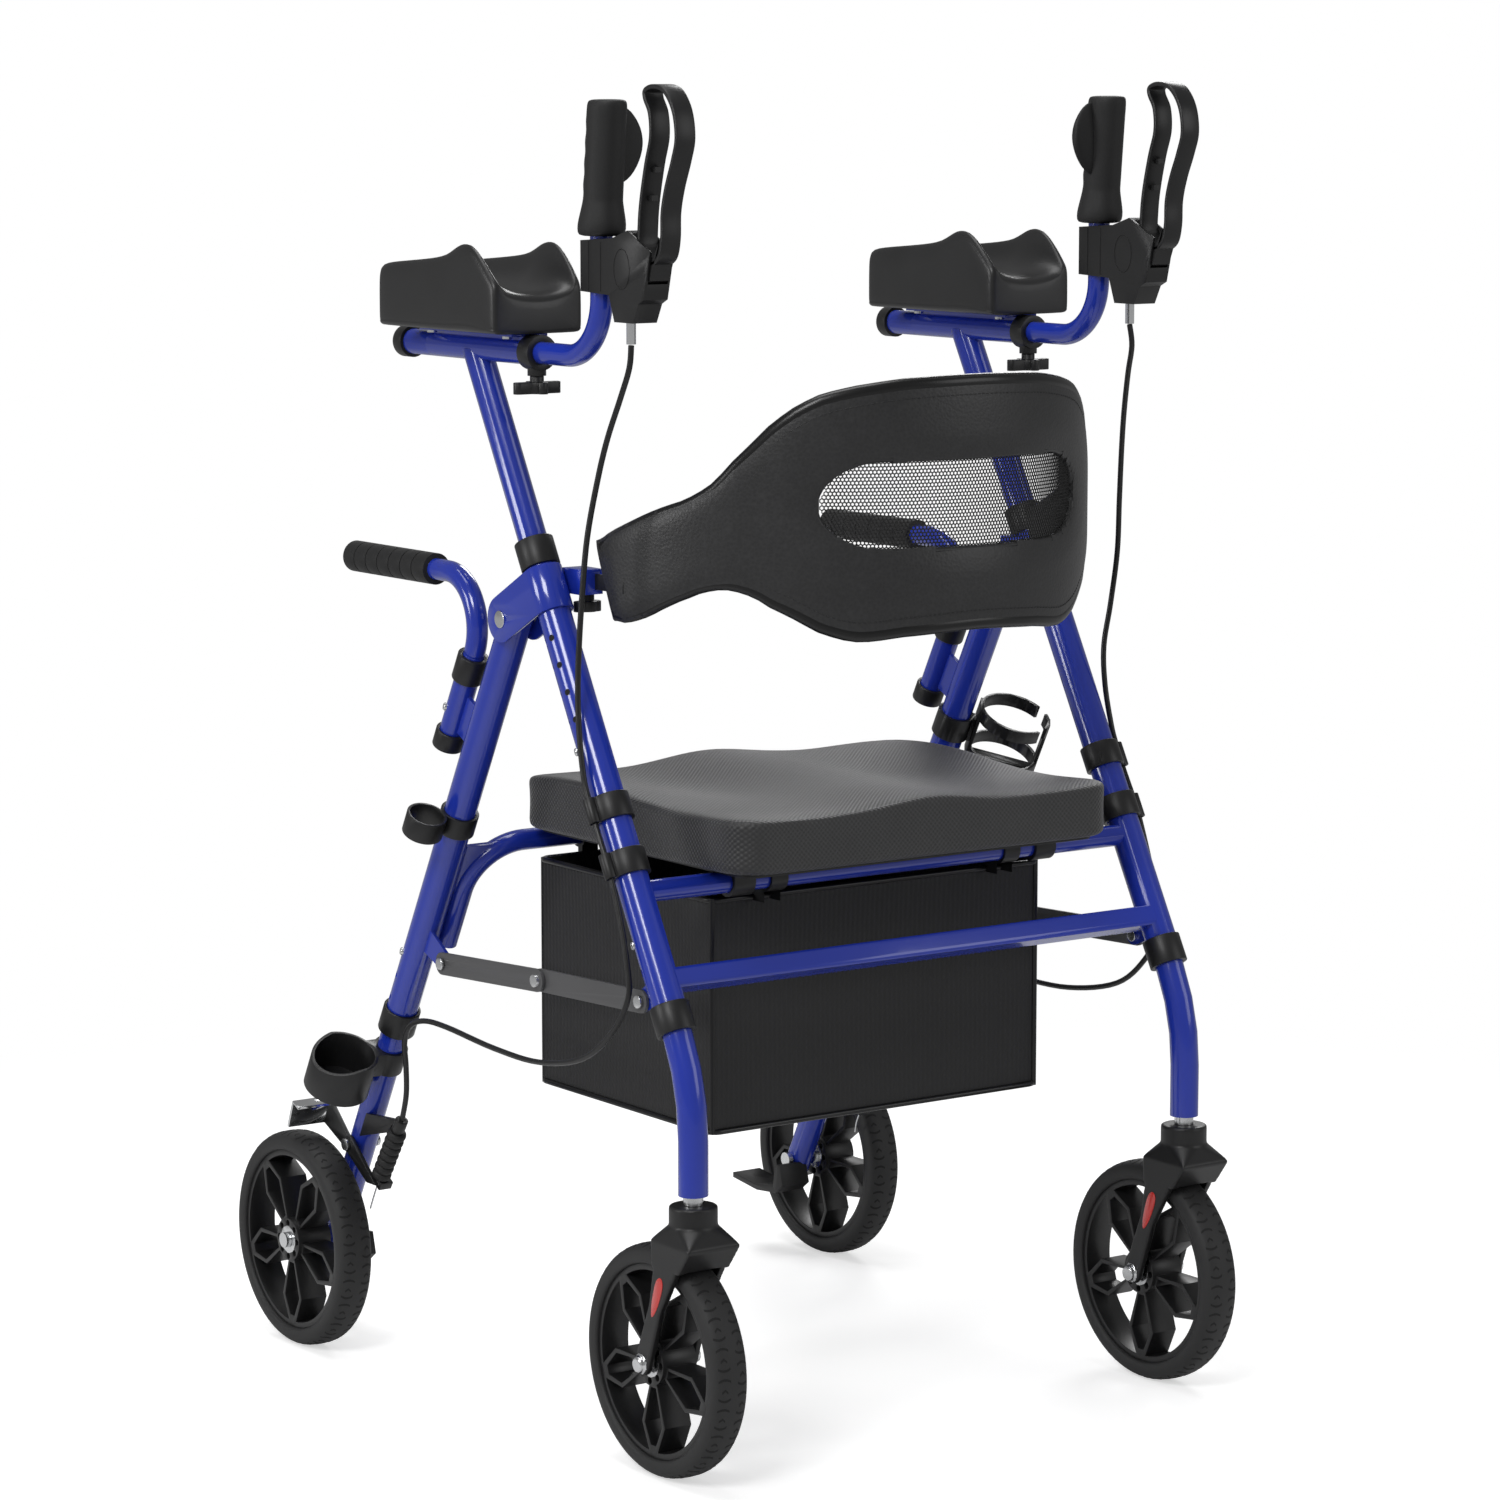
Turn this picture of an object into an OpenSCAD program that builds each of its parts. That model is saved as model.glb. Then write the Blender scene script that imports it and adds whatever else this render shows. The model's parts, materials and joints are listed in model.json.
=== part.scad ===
// Upright walker: a folding rollator with forearm supports, a padded seat, a padded back band and a
// cloth basket. Millimetres. +Z is up, -Y is the way it is pushed and +X is the user's left. The origin
// lies on the floor, midway between the front and the rear axles.

/* [Stance] */
// Half the distance between the two leg planes
leg_x = 266; // [256:1:280]
// Height of the fold hinge above the floor
hinge_z = 706; // [700:1:712]
// Place of the fold hinge along the walker, negative towards the front
hinge_y = -47; // [-52:1:-42]
// Lean of the front legs from the vertical, in degrees
front_tilt = 28.8; // [28.2:0.1:29.4]
// Distance of the fold hinge behind the front leg's axis
hinge_offset = 56.7; // [55:0.1:60]
// Place of the caster swivel axes along the walker
caster_y = -313; // [-318:1:-309]
// Trail of the casters: how far the wheel runs behind its swivel axis
caster_trail = 40; // [36:1:44]
// Place of the rear axles along the walker
rear_axle_y = 273; // [268:1:278]
// Distance of the rear wheels outboard of the rear legs
rear_wheel_out = 35; // [35:0.5:40]

/* [Tubes] */
// Outer diameter of the front and rear legs
leg_od = 28.6; // [28:0.1:30]
// Wall of the legs
leg_wall = 1.5; // [1.2:0.1:2]
// Radial clearance between telescoping tubes
tube_fit = 0.1; // [0.05:0.01:0.1]
// Wall of the telescoping inner tubes
inner_wall = 1.6; // [1.2:0.1:2.5]
// Outer diameter of the handle tubes, front and rear
handle_od = 19; // [18:0.5:20]
// Wall of the forearm tubes and of the push handle sockets
socket_wall = 1.5; // [1.2:0.1:2]
// Outer diameter of the seat tube and of the rear arch
cross_od = 19; // [18:0.5:20]
// Height of the flattened lower cross tube
flat_h = 18; // [16:0.5:20]
// Depth of the flattened lower cross tube
flat_d = 24; // [20:1:26]
// Spacing of the adjusting holes
hole_pitch = 25; // [24:1:26]
// Diameter of a snap button
button_d = 7; // [6:0.5:8]

/* [Legs] */
// Top of the front leg tube, along the leg from the foot of the hinge
front_leg_high = 44; // [43:1:47]
// Bottom of the front leg tube
front_leg_low = -398; // [-402:1:-394]
// Snap button of the arm post, along the front leg
post_button_s = -144; // [-146:1:-142]
// Snap button of the front foot, along the front leg
foot_button_s = -319; // [-322:1:-316]
// Bend radius of the front foot
foot_bend_r = 175; // [160:1:180]
// Height of the front foot's lower end
foot_low_z = 249; // [246:1:252]
// Top of the rear leg tube above the hinge
rear_leg_high = 12; // [8:1:14]
// Bottom of the rear leg tube
rear_leg_low = -444; // [-448:1:-440]
// Snap button of the rear foot, along the rear leg
rear_button_s = -362; // [-365:1:-359]
// Height of the seat tube, where it meets the front legs
seat_tube_z = 492; // [489:1:494]
// Height of the lower cross tube
low_tube_z = 422; // [418:1:426]
// Rear arch's place along the rear leg
arch_s = -239.4; // [-242:0.1:-238]
// Rear arch's offset in front of the rear leg's axis
arch_front = 5.5; // [4:0.1:6]
// Bend radius of the rear arch
arch_bend_r = 50; // [44:1:56]
// Length of the arch's ends that run down the rear legs
arch_tail = 58; // [50:1:64]
// Radial thickness of the plastic collars
collar_t = 2.8; // [2.2:0.1:3.2]
// Length of the plastic collars
collar_h = 25; // [22:1:27]

/* [Wheels] */
// Wheel diameter
wheel_d = 200; // [196:1:204]
// Tyre width
tyre_w = 34; // [32:1:35]
// Tyre height from the rim to the tread
tyre_h = 17; // [15:1:19]
// Rim ring thickness
rim_t = 5; // [4:0.5:6]
// Rim width
rim_w = 27; // [24:1:29]
// Number of petal spokes
petals = 5; // [4:1:7]
// Wall of a petal spoke
petal_t = 4; // [3:0.5:5]
// Hub diameter
hub_d = 40; // [36:1:42]
// Hub length
hub_w = 34; // [33:0.5:34.5]
// Axle diameter
axle_d = 8; // [7:0.5:9]
// Outer diameter of a wheel bearing
bearing_od = 22; // [20:1:24]
// Width of a wheel bearing
bearing_w = 7; // [6:0.5:8]

/* [Arms] */
// Height of the forearm tube's axis
forearm_z = 936; // [930:1:942]
// Rear end of the forearm tube
forearm_rear_y = 129; // [124:1:134]
// Front end of the forearm tube
forearm_front_y = -81; // [-84:1:-78]
// Place of the upright part of the handle tube
grip_y = -181; // [-185:1:-178]
// Bend radius of the handle tube
handle_bend_r = 50; // [46:1:54]
// Length of the handle tube inside the forearm tube
handle_insert = 130; // [120:1:140]
// Bottom of the hand grip
grip_low_z = 1037; // [1034:1:1040]
// Top of the hand grip
grip_high_z = 1150; // [1146:1:1154]
// Diameter of the hand grip
grip_od = 33; // [30:1:35]
// Underside of the forearm pad
pad_low_z = 952; // [950:0.5:953]
// Width of the forearm pad
pad_w = 94; // [88:1:100]
// Rear end of the forearm pad
pad_rear_y = 104; // [98:1:108]
// Front end of the forearm pad
pad_front_y = -84; // [-88:1:-80]
// Height of the forearm pad's front peaks
pad_peak_h = 76; // [70:1:80]
// Thickness of the forearm pad under its trough
pad_floor_h = 33; // [28:1:38]

/* [Push handles] */
// Socket's offset behind the rear leg's axis
push_off = 44.2; // [43:0.1:46]
// Top of the push handle's socket along the rear leg
push_socket_high = -71; // [-74:1:-68]
// Bottom of the push handle's socket along the rear leg
push_socket_low = -161; // [-165:1:-158]
// Snap button of the push handle
push_button_s = -125; // [-127:1:-123]
// Height of the push grip
push_grip_z = 737; // [733:1:741]
// Bend radius of the push handle
push_bend_r = 47; // [44:1:50]
// Length of the push grip
push_grip_l = 138; // [130:1:144]
// Diameter of the push grip
push_grip_od = 28; // [26:0.5:30]

/* [Seat] */
// Cushion width
cushion_w = 406; // [390:1:416]
// Cushion depth
cushion_d = 351; // [344:1:356]
// Front edge of the cushion
cushion_front_y = -294; // [-298:1:-290]
// Underside of the cushion
cushion_low_z = 505.3; // [505:0.1:507]
// Height of the cushion at its edge
cushion_h = 43; // [38:1:48]
// Height of the raised middle of the cushion
cushion_ridge = 9; // [6:1:12]
// Thickness of the seat board
board_t = 3; // [2.5:0.1:3.2]
// Basket width
basket_w = 356; // [344:1:364]
// Front wall of the basket
basket_front_y = -213; // [-214:1:-208]
// Rear wall of the basket
basket_rear_y = 56; // [52:1:58]
// Floor of the basket
basket_low_z = 270; // [266:1:276]
// Rim of the basket
basket_high_z = 475; // [470:1:478]
// Wall of the basket
basket_t = 3; // [2.5:0.1:4]

/* [Back band] */
// Radius of the back band's outer face
back_r = 240; // [236:1:242]
// Centre of the back band's curve along the walker
back_y = -115; // [-118:1:-112]
// Middle height of the back band
back_z = 815; // [812:1:818]
// Height of the back band in the middle
back_h = 212; // [206:1:216]
// Thickness of the back band
back_t = 14; // [13:0.5:16]
// Width of the mesh window
window_w = 278; // [268:1:284]
// Height of the mesh window
window_h = 75; // [70:1:78]
// Height of a flat back bar
bar_h = 13.5; // [12:0.5:15]
// Thickness of a flat back bar
bar_t = 4; // [3:0.5:4.5]

/* [Brakes] */
// Brake cable diameter
cable_d = 5; // [4.5:0.1:5.5]
// Brake arm pivot along the rear leg
brake_s = -578; // [-580:1:-576]
// Thickness of the brake arm
brake_arm_t = 4; // [3:0.5:4.5]
// Thickness of the brake housing, across
housing_w = 24; // [23:0.5:26]
// Width of the brake lever, across
lever_w = 19; // [17:0.5:19.5]

/* [Extras] */
// Outer diameter of the cane cup
cup_od = 60; // [56:1:64]
// Depth of the cane cup
cup_h = 40; // [36:1:46]
// Bore of the cane ring
cane_bore = 31; // [29:0.5:33]
// Place of the cane ring along the rear leg
cane_ring_s = -214; // [-216:1:-210]
// Place of the cane cup along the rear leg
cane_cup_s = -486; // [-488:1:-482]
// Place of the bottle cage along the rear leg
cage_s = -160; // [-164:1:-156]
// Height of the bottle cage
cage_h = 54; // [48:1:60]

/* [Hidden] */
$fn = 48;

// Sides: the pieces are drawn for the left and mirrored for the right
LEFT = 1;
RIGHT = -1;

// Paint and finish colours
blue = [0.10, 0.16, 0.72];
black = [0.07, 0.07, 0.075];
dark = [0.16, 0.16, 0.165];
grey = [0.33, 0.33, 0.34];
steel = [0.80, 0.81, 0.82];
red = [0.75, 0.10, 0.10];

// Clearances and overruns
over = 1;
gap = 0.3;
run_fit = 0.05;
seat_fit = 0.02;
weld = 0.4;

// Stance
wheel_r = wheel_d / 2;
foot_y = hinge_y - hinge_offset * cos(front_tilt);
foot_z = hinge_z + hinge_offset * sin(front_tilt);
rear_tilt = atan2(rear_axle_y - hinge_y, hinge_z - wheel_r);
rear_axle_s = -norm([rear_axle_y - hinge_y, hinge_z - wheel_r]);
front_axle_y = caster_y + caster_trail;
rear_wheel_x = leg_x + rear_wheel_out;

// Tubes
leg_r = leg_od / 2;
leg_bore = leg_od - 2 * leg_wall;
inner_od = leg_bore - 2 * tube_fit;
inner_id = inner_od - 2 * inner_wall;
socket_bore = handle_od + 2 * tube_fit;
socket_od = socket_bore + 2 * socket_wall;
handle_wall = 1.6;
handle_id = handle_od - 2 * handle_wall;
cross_wall = 1.6;
flat_wall = 1.6;
flat_round = 4;

// Snap buttons
post_holes = 5;
rear_holes = 3;
push_holes = 2;
button_out = 2.5;
button_dome = 1;
tube_end = 8;
foot_room = 9;
post_low_s = post_button_s - (post_holes - 1) * hole_pitch - tube_end;
foot_top_s = post_low_s - foot_room;
foot_holes = floor((foot_top_s - tube_end - foot_button_s) / hole_pitch) + 1;
button_turn = 62;
push_end = 8;

// Collars
collar_lip = 3;

// Bolts
bolt_d = 6;
bolt_head_d = 11;
bolt_head_h = 3;
hinge_bolt_d = 8;
hinge_head_d = 15;
hinge_head_h = 1.2;

// Hinge brackets
bracket_t = 2.5;
bracket_h = 40;
cheek_gap = 0.5;
cheek_in = leg_r + cheek_gap;
cheek_out = cheek_in + bracket_t;

// Back band sockets
bar_x = back_r - back_t / 2;
bar_rear_y = -88;
bar_front_y = -166;
bar_z = 742;
bar_socket_l = 30;
bar_socket_y = -92;
bar_socket_t = 4;
bar_fit = 0.06;
bar_knob_d = 26;
bar_knob_h = 9;
bar_knob_stem_d = 12;
bar_knob_stem_h = 7;

// Folding stays
stay_w = 20;
stay_t = 3;
tab_t = 3;
front_stay_s = -360.3;
front_stay_off = 33;
rear_stay_s = -336.9;
rear_stay_off = 46.7;
stay_rise = 1.5;
tab_r = 9;
tab_root = 26;

// Cable clips
clip_s = [-200, -250];
clip_h = 22;
clip_t = 3.2;
clip_wall = 2;
clip_fit = 1;
clip_out = 20;

// Front foot and caster
stem_d = 12;
stem_l = 40;
stem_nut_d = 17;
stem_plug_h = 22;
fork_top_z = 241;
fork_cap_d = 41;
fork_cap_h = 19;
fork_in = 2.6;
fork_blade_t = 6.5;
fork_wide_z = 208;
fork_wide_l = 57;
fork_wide_front = 31;
fork_chin_z = 187;
fork_chin_l = 40;
fork_chin_front = 15;
fork_layer_t = 2;
fork_clear = 4;
blade_top_d = 32;
blade_low_d = 20;
blade_top_y = 6;
blade_top_z = 190;
blade_neck_share = 0.42;
blade_neck_w = 17;
reflector_l = 34;
reflector_w = 8;
reflector_t = 1.5;
axle_head_d = 14;
axle_head_h = 5;

// Wheel details
tyre_shoulder_share = 0.47;
tyre_shoulder = tyre_h * tyre_shoulder_share;
rim_r = wheel_r - tyre_h;
rim_in = rim_r - rim_t;
petal_w = 34;
petal_wide_share = 0.70;
petal_root_share = 0.235;
petal_tip_share = 0.30;
hub_clear = 1;
pocket_n = 8;
pocket_d = 6;
pocket_h = 9;
pocket_share = 0.78;

// Rear foot
rear_foot_end = 25;
rear_spacer_d = 16;
curb_w = 20;
curb_l = 57;

// Brake mount
boot_x = 9;
boot_d = 18;
boot_bore = 4;
boot_ribs = 7;
boot_rib_share = 0.72;
boot_low = [177, 172];
boot_high = [146, 220];
stop_h = 14;
stop_d = 12;
mount_t = 4;
mount_h = 22;
brake_pin_d = 8;
shoe_w = 38;
shoe_side = 9;
shoe_gap = 8;
shoe_h = 24;
shoe_t = 2.5;
cup_block_h = 8;

// Forearm parts
cap_l = 13;
cap_t = 3;
clamp_l = 17;
clamp_t = 4;
clamp_boss_d = 16;
clamp_boss_h = 9;
plate_w = 36;
plate_t = 3;
plate_l = 150;
plate_y = -70;
plate_bolt_d = 9;
plate_bolt_h = 2.2;
plate_bolt_edge = 14;
knob_wing = 46;
knob_cross_share = 0.6;
knob_h = 10;
knob_hub_d = 18;
knob_stem_d = 12;
knob_stem_h = 5;
knob_screw_d = 6;
knob_screw_h = 8;
knob_wing_t = 9;

// Hand grip
grip_flare = 8;
grip_flare_h = 16;
grip_lean = 10;
grip_slim = 2;
grip_core_share = 0.36;
grip_layer_t = 1;
flap_r = 15;
flap_t = 9;
flap_reach = 37;
flap_z_share = 0.66;

// Brake housing and lever, as places from the hand grip's axis and the lever's pivot
lever_pivot = [-80, 1009];
lever_pin_d = 5;
lever_hub_d = 15;
ferrule_d = 8;
ferrule_bore = 3;
ferrule_seat = 8;
ferrule_y = -44;
housing_low_z = 966;
lever_clear = 2.8;
lever_swing = 15.5;
lever_h = 154;
lever_reach = 46;
lever_steps = 3;

// Push handle
push_cap_h = 17;
push_web_t = 4;
push_web_low = -143;
push_web_high = -105;
push_grip_t = 2;
push_lead = 18.2;
push_groove_n = 6;
push_groove = 1.2;

// Seat
clip_x = 163;
seat_clip_w = 22;
seat_clip_t = 3.5;
board_inset = 14;
basket_clip_x = 126;
basket_clip_w = 17;
basket_clip_t = 2.4;
loop_od = cross_od + 2 * (gap + basket_clip_t);
loop_room = basket_clip_w + 2 * gap;
basket_round = 8;
basket_rim = 5;

// Extras
cup_t = 3;
cup_clip_t = 3;
cup_clip_h = 24;
cup_gap = 2;
cup_slot_w = 6;
cup_cut = 20;
ring_t = 2.6;
ring_h = 20;
cage_gap = 5;
cage_t = 3;
cage_band_h = 12;
cage_plate_w = 24;
cage_mouth = 35;
cage_turn = 35;

// Route of a brake cable on the left, from the lever to the rear brake, as places in the walker's frame
cable_route = [
  [266, -225, 949], [266, -222, 930], [266, -209, 905], [268, -192, 870], [270, -180, 835],
  [274, -170, 787], [278, -168, 740], [281, -167, 693], [283, -168, 655], [285, -173, 620],
  [286, -181, 585], [286, -188, 568], [286, -198, 548], [286, -212, 524], [286, -222, 505],
  [286, -236, 470], [287, -247, 435], [288, -250, 408], [290, -228, 375], [292, -186, 346],
  [291, -117, 331], [289, -42, 330], [287, 40, 335], [286, 80, 334], [285, 106, 325],
  [283, 119, 308], [280, 122, 285], [277, 127, 258], [275, 138, 232.2],
];
cable_steps = 40;
cable_bow = 28;
cable_bow_z = 640;
cable_sides = 8;

// Pivots of the stays and the seat tube's place
stay_a = front_pt(front_stay_s, front_stay_off);
stay_b = rear_pt(rear_stay_s, -rear_stay_off);
stay_m = (stay_a + stay_b) / 2 + [0, stay_rise];
seat_tube = front_pt((seat_tube_z - foot_z) / cos(front_tilt), 0);

// Helpers

// A point on the front leg's plane: s along the leg from the hinge's foot, off behind the leg's axis
function front_pt(s, off) = [
  foot_y + s * sin(front_tilt) + off * cos(front_tilt),
  foot_z + s * cos(front_tilt) - off * sin(front_tilt)];

// A point on the rear leg's plane: s along the leg from the hinge, off behind the leg's axis
function rear_pt(s, off) = [
  hinge_y - s * sin(rear_tilt) + off * cos(rear_tilt),
  hinge_z + s * cos(rear_tilt) + off * sin(rear_tilt)];

// A smooth curve through the points of a list, at share u of its length in points
function spline_at(p, u) =
  let (n = len(p) - 1, i = min(floor(u), n - 1), t = u - i,
    a = p[max(i - 1, 0)], b = p[i], c = p[i + 1], d = p[min(i + 2, n)])
  0.5 * (2 * b + (c - a) * t + (2 * a - 5 * b + 4 * c - d) * t * t + (3 * b - a - 3 * c + d) * t * t * t);

function spline(p, n) = [for (k = [0:n]) spline_at(p, k * (len(p) - 1) / n)];

// A closed outline through the points of a list, n steps between each two
function loop(p, n) =
  let (m = len(p))
  [for (i = [0:m - 1]) for (k = [0:n - 1])
    let (a = p[(i + m - 1) % m], b = p[i], c = p[(i + 1) % m], d = p[(i + 2) % m], t = k / n)
    0.5 * (2 * b + (c - a) * t + (2 * a - 5 * b + 4 * c - d) * t * t + (3 * b - a - 3 * c + d) * t * t * t)];

// A table of shares read as a curve of its first column
function read(table, col, x, i = 0) =
  i >= len(table) - 2 || x <= table[i + 1][0]
    ? let (t = (x - table[i][0]) / (table[i + 1][0] - table[i][0]))
     table[i][col] + t * (table[i + 1][col] - table[i][col])
    : read(table, col, x, i + 1);

module on_side(side) {
  if (side == LEFT) children();
  else mirror([1, 0, 0]) children();
}

module both() {
  on_side(LEFT) children();
  on_side(RIGHT) children();
}

// Local frame on the front leg: z runs up the leg, y points behind it
module on_front(s) {
  p = front_pt(s, 0);
  translate([leg_x, p[0], p[1]]) rotate([-front_tilt, 0, 0]) children();
}

// Local frame on the rear leg: z runs up the leg, y points behind it
module on_rear(s) {
  p = rear_pt(s, 0);
  translate([leg_x, p[0], p[1]]) rotate([rear_tilt, 0, 0]) children();
}

// Outlines drawn in the side view, y across and z up, from x to x + w
module side_view(x, w) {
  translate([x, 0, 0]) rotate([90, 0, 90]) linear_extrude(w) children();
}

module pipe(od, id, h) {
  difference() {
    cylinder(d = od, h = h);
    translate([0, 0, -over]) cylinder(d = id, h = h + 2 * over);
  }
}

module rod_x(d, x0, x1) {
  translate([x0, 0, 0]) rotate([0, 90, 0]) cylinder(d = d, h = x1 - x0);
}

module rod_y(d, h) {
  rotate([-90, 0, 0]) cylinder(d = d, h = h);
}

// A bent stretch of tube in the side plane, about a centre, from an angle and through a turn
module elbow(c, r, from, turn, od, id) {
  translate([leg_x, c[0], c[1]]) rotate([90, 0, 90]) rotate([0, 0, from])
    rotate_extrude(angle = turn) translate([r, 0]) difference() {
      circle(d = od);
      circle(d = id);
    }
}

// A bolt along x with a head at each end
module bolt_x(d, head_d, head_h, x0, x1) {
  rod_x(d, x0 - head_h, x1 + head_h);
  rod_x(head_d, x0 - head_h, x0);
  rod_x(head_d, x1, x1 + head_h);
}

module round_rect(w, h, r) {
  translate([-w / 2 + r, -h / 2]) square([w - 2 * r, h]);
  translate([-w / 2, -h / 2 + r]) square([w, h - 2 * r]);
  for (i = [-1, 1]) for (j = [-1, 1]) translate([i * (w / 2 - r), j * (h / 2 - r)]) circle(r);
}

module stadium(l, w) {
  translate([-(l - w) / 2, -w / 2]) square([l - w, w]);
  for (i = [-1, 1]) translate([i * (l - w) / 2, 0]) circle(d = w);
}

// A skin over rings of points, each of n points, closed at both ends
module skin(rings) {
  n = len(rings[0]);
  m = len(rings);
  sides = [for (i = [0:m - 2]) for (j = [0:n - 1]) each [
    [i * n + j, i * n + (j + 1) % n, (i + 1) * n + j],
    [(i + 1) * n + j, i * n + (j + 1) % n, (i + 1) * n + (j + 1) % n]]];
  first = [for (j = [0:n / 2 - 2]) each [
    [j + 1, j, n - 1 - j], [j + 1, n - 1 - j, n - 2 - j]]];
  last = [for (f = first) [for (k = [2, 1, 0]) f[k] + (m - 1) * n]];
  polyhedron([for (r = rings) each r], concat(first, sides, last), convexity = 8);
}

// A round cord along a path
module cord(path, d, n) {
  m = len(path) - 1;
  rings = [for (i = [0:m])
    let (t = path[min(i + 1, m)] - path[max(i - 1, 0)], w = t / norm(t),
      u0 = cross(w, [1, 0, 0]), u = u0 / norm(u0), v = cross(w, u))
    [for (k = [0:n - 1]) path[i] + d / 2 * (cos(k * 360 / n) * u + sin(k * 360 / n) * v)]];
  skin(rings);
}

// A hole for a snap button, through the wall of a tube, turned outboard from its rear
module button_hole(od) {
  rotate([0, 0, -button_turn]) rod_y(button_d + 2 * run_fit, od);
}

// A snap button that rests in its hole
module button(od, wall) {
  rotate([0, 0, -button_turn]) translate([0, od / 2 - wall, 0]) {
    rod_y(button_d, wall + button_out - button_dome);
    translate([0, wall + button_out - button_dome, 0])
      rotate([-90, 0, 0]) cylinder(d1 = button_d, d2 = button_d - 2 * button_dome, h = button_dome);
  }
}

// Front frame

module front_legs() {
  l = front_leg_high - front_leg_low;
  q = front_pt((low_tube_z - foot_z) / cos(front_tilt), 0);
  color(blue) difference() {
    union() {
      both() {
        on_front(front_leg_low) cylinder(d = leg_od, h = l);
        on_front(front_stay_s) stay_tab(front_stay_off, -tab_t / 2);
      }
      translate([0, seat_tube[0], seat_tube[1]]) rod_x(cross_od, -leg_x, leg_x);
      translate([0, q[0], q[1]]) flat_bar(leg_x, 0);
    }
    translate([0, seat_tube[0], seat_tube[1]]) rod_x(cross_od - 2 * cross_wall, -leg_x, leg_x);
    translate([0, q[0], q[1]]) flat_bar(leg_x, flat_wall);
    both() {
      on_front(front_leg_low - over) cylinder(d = leg_bore, h = l + 2 * over);
      for (k = [0:post_holes - 1]) on_front(post_button_s + k * hole_pitch) button_hole(leg_od);
      for (k = [0:foot_holes - 1]) on_front(foot_button_s - k * hole_pitch) button_hole(leg_od);
    }
  }
}

// The flattened lower cross tube, or with an inset the room inside it
module flat_bar(half, inset) {
  rotate([-front_tilt, 0, 0]) rotate([90, 0, 90]) translate([0, 0, -half]) linear_extrude(2 * half)
    round_rect(flat_d - 2 * inset, flat_h - 2 * inset, flat_round - inset);
}

// A plate that carries a stay, from the leg's surface out to the pivot, x0 being its inner face
module stay_tab(off, x0) {
  difference() {
    side_view(x0, tab_t) {
      polygon([[0, -tab_root / 2], [off, -tab_r], [off, tab_r], [0, tab_root / 2]]);
      translate([off, 0]) circle(tab_r);
    }
    translate([0, off, 0]) rod_x(bolt_d, x0 - over, x0 + tab_t + over);
  }
}

module hinge_bracket() {
  on_front(0) intersection() {
    translate([0, 0, -bracket_h / 2]) linear_extrude(bracket_h) difference() {
      union() {
        circle(cheek_out);
        translate([-cheek_out, 0]) square([2 * cheek_out, hinge_offset + bracket_h]);
      }
      circle(leg_r);
      translate([-cheek_in, 0]) square([2 * cheek_in, hinge_offset + bracket_h + over]);
    }
    side_view(-cheek_out - over, 2 * (cheek_out + over)) difference() {
      union() {
        translate([-cheek_out, -bracket_h / 2]) square([cheek_out + hinge_offset, bracket_h]);
        translate([hinge_offset, 0]) circle(d = bracket_h);
      }
      translate([hinge_offset, 0]) circle(d = hinge_bolt_d);
    }
  }
}

// Socket for a back bar, on the inner cheek of the bracket
module bar_socket() {
  x0 = bar_x - bar_t / 2 - bar_socket_t;
  difference() {
    translate([x0, bar_socket_y - bar_socket_l, bar_z - bar_h / 2 - bar_socket_t])
      cube([leg_x - cheek_out - x0, bar_socket_l, bar_h + 2 * bar_socket_t]);
    translate([bar_x, bar_socket_y - bar_socket_l - over, bar_z])
      back_bar_shape(bar_socket_l + 2 * over, bar_fit);
  }
}

// A flat bar along y, with a clearance all round
module back_bar_shape(l, fit) {
  translate([-bar_t / 2 - fit, 0, -bar_h / 2 - fit]) cube([bar_t + 2 * fit, l, bar_h + 2 * fit]);
}

module hinge_brackets() {
  color(blue) both() {
    hinge_bracket();
    bar_socket();
  }
}

// A bush over a tube's end: a sleeve outside and a lip that guides the inner tube
module collar(od, end_bore) {
  difference() {
    cylinder(d = od + 2 * collar_t, h = collar_h);
    translate([0, 0, -over]) cylinder(d = od, h = collar_h - collar_lip + over);
    cylinder(d = end_bore, h = collar_h + over);
  }
}

module cable_clip() {
  difference() {
    union() {
      cylinder(d = leg_od + 2 * clip_t, h = clip_h);
      translate([clip_out, 0, 0]) cylinder(d = cable_d + 2 * (clip_fit + clip_wall), h = clip_h);
    }
    translate([0, 0, -over]) cylinder(d = leg_od, h = clip_h + 2 * over);
    translate([clip_out, 0, -over]) cylinder(d = cable_d + 2 * clip_fit, h = clip_h + 2 * over);
  }
}

module front_frame_fittings() {
  x1 = leg_x + tab_t / 2 + gap + stay_t + gap;
  both() {
    color(black) {
      on_front(front_leg_high + collar_lip - collar_h) collar(leg_od, inner_od + 2 * tube_fit);
      on_front(front_leg_low - collar_lip + collar_h) mirror([0, 0, 1])
        collar(leg_od, inner_od + 2 * tube_fit);
      for (s = clip_s) on_front(s - clip_h / 2) cable_clip();
      translate([bar_x, bar_socket_y - bar_socket_l / 2, bar_z - bar_h / 2 - bar_socket_t])
        mirror([0, 0, 1]) bar_knob();
    }
    color(steel) {
      translate([0, hinge_y, hinge_z])
        bolt_x(hinge_bolt_d, hinge_head_d, hinge_head_h, leg_x - cheek_out, leg_x + cheek_out);
      translate([0, stay_a[0], stay_a[1]])
        bolt_x(bolt_d, bolt_head_d, bolt_head_h, leg_x - tab_t / 2, x1);
    }
  }
}

// Knob that pinches a back bar in its socket
module bar_knob() {
  cylinder(d = bar_knob_stem_d, h = bar_knob_stem_h);
  translate([0, 0, bar_knob_stem_h]) linear_extrude(bar_knob_h) {
    stadium(bar_knob_d, bar_knob_stem_d);
    circle(d = bar_knob_stem_d + bar_knob_h / 2);
  }
}

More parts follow.
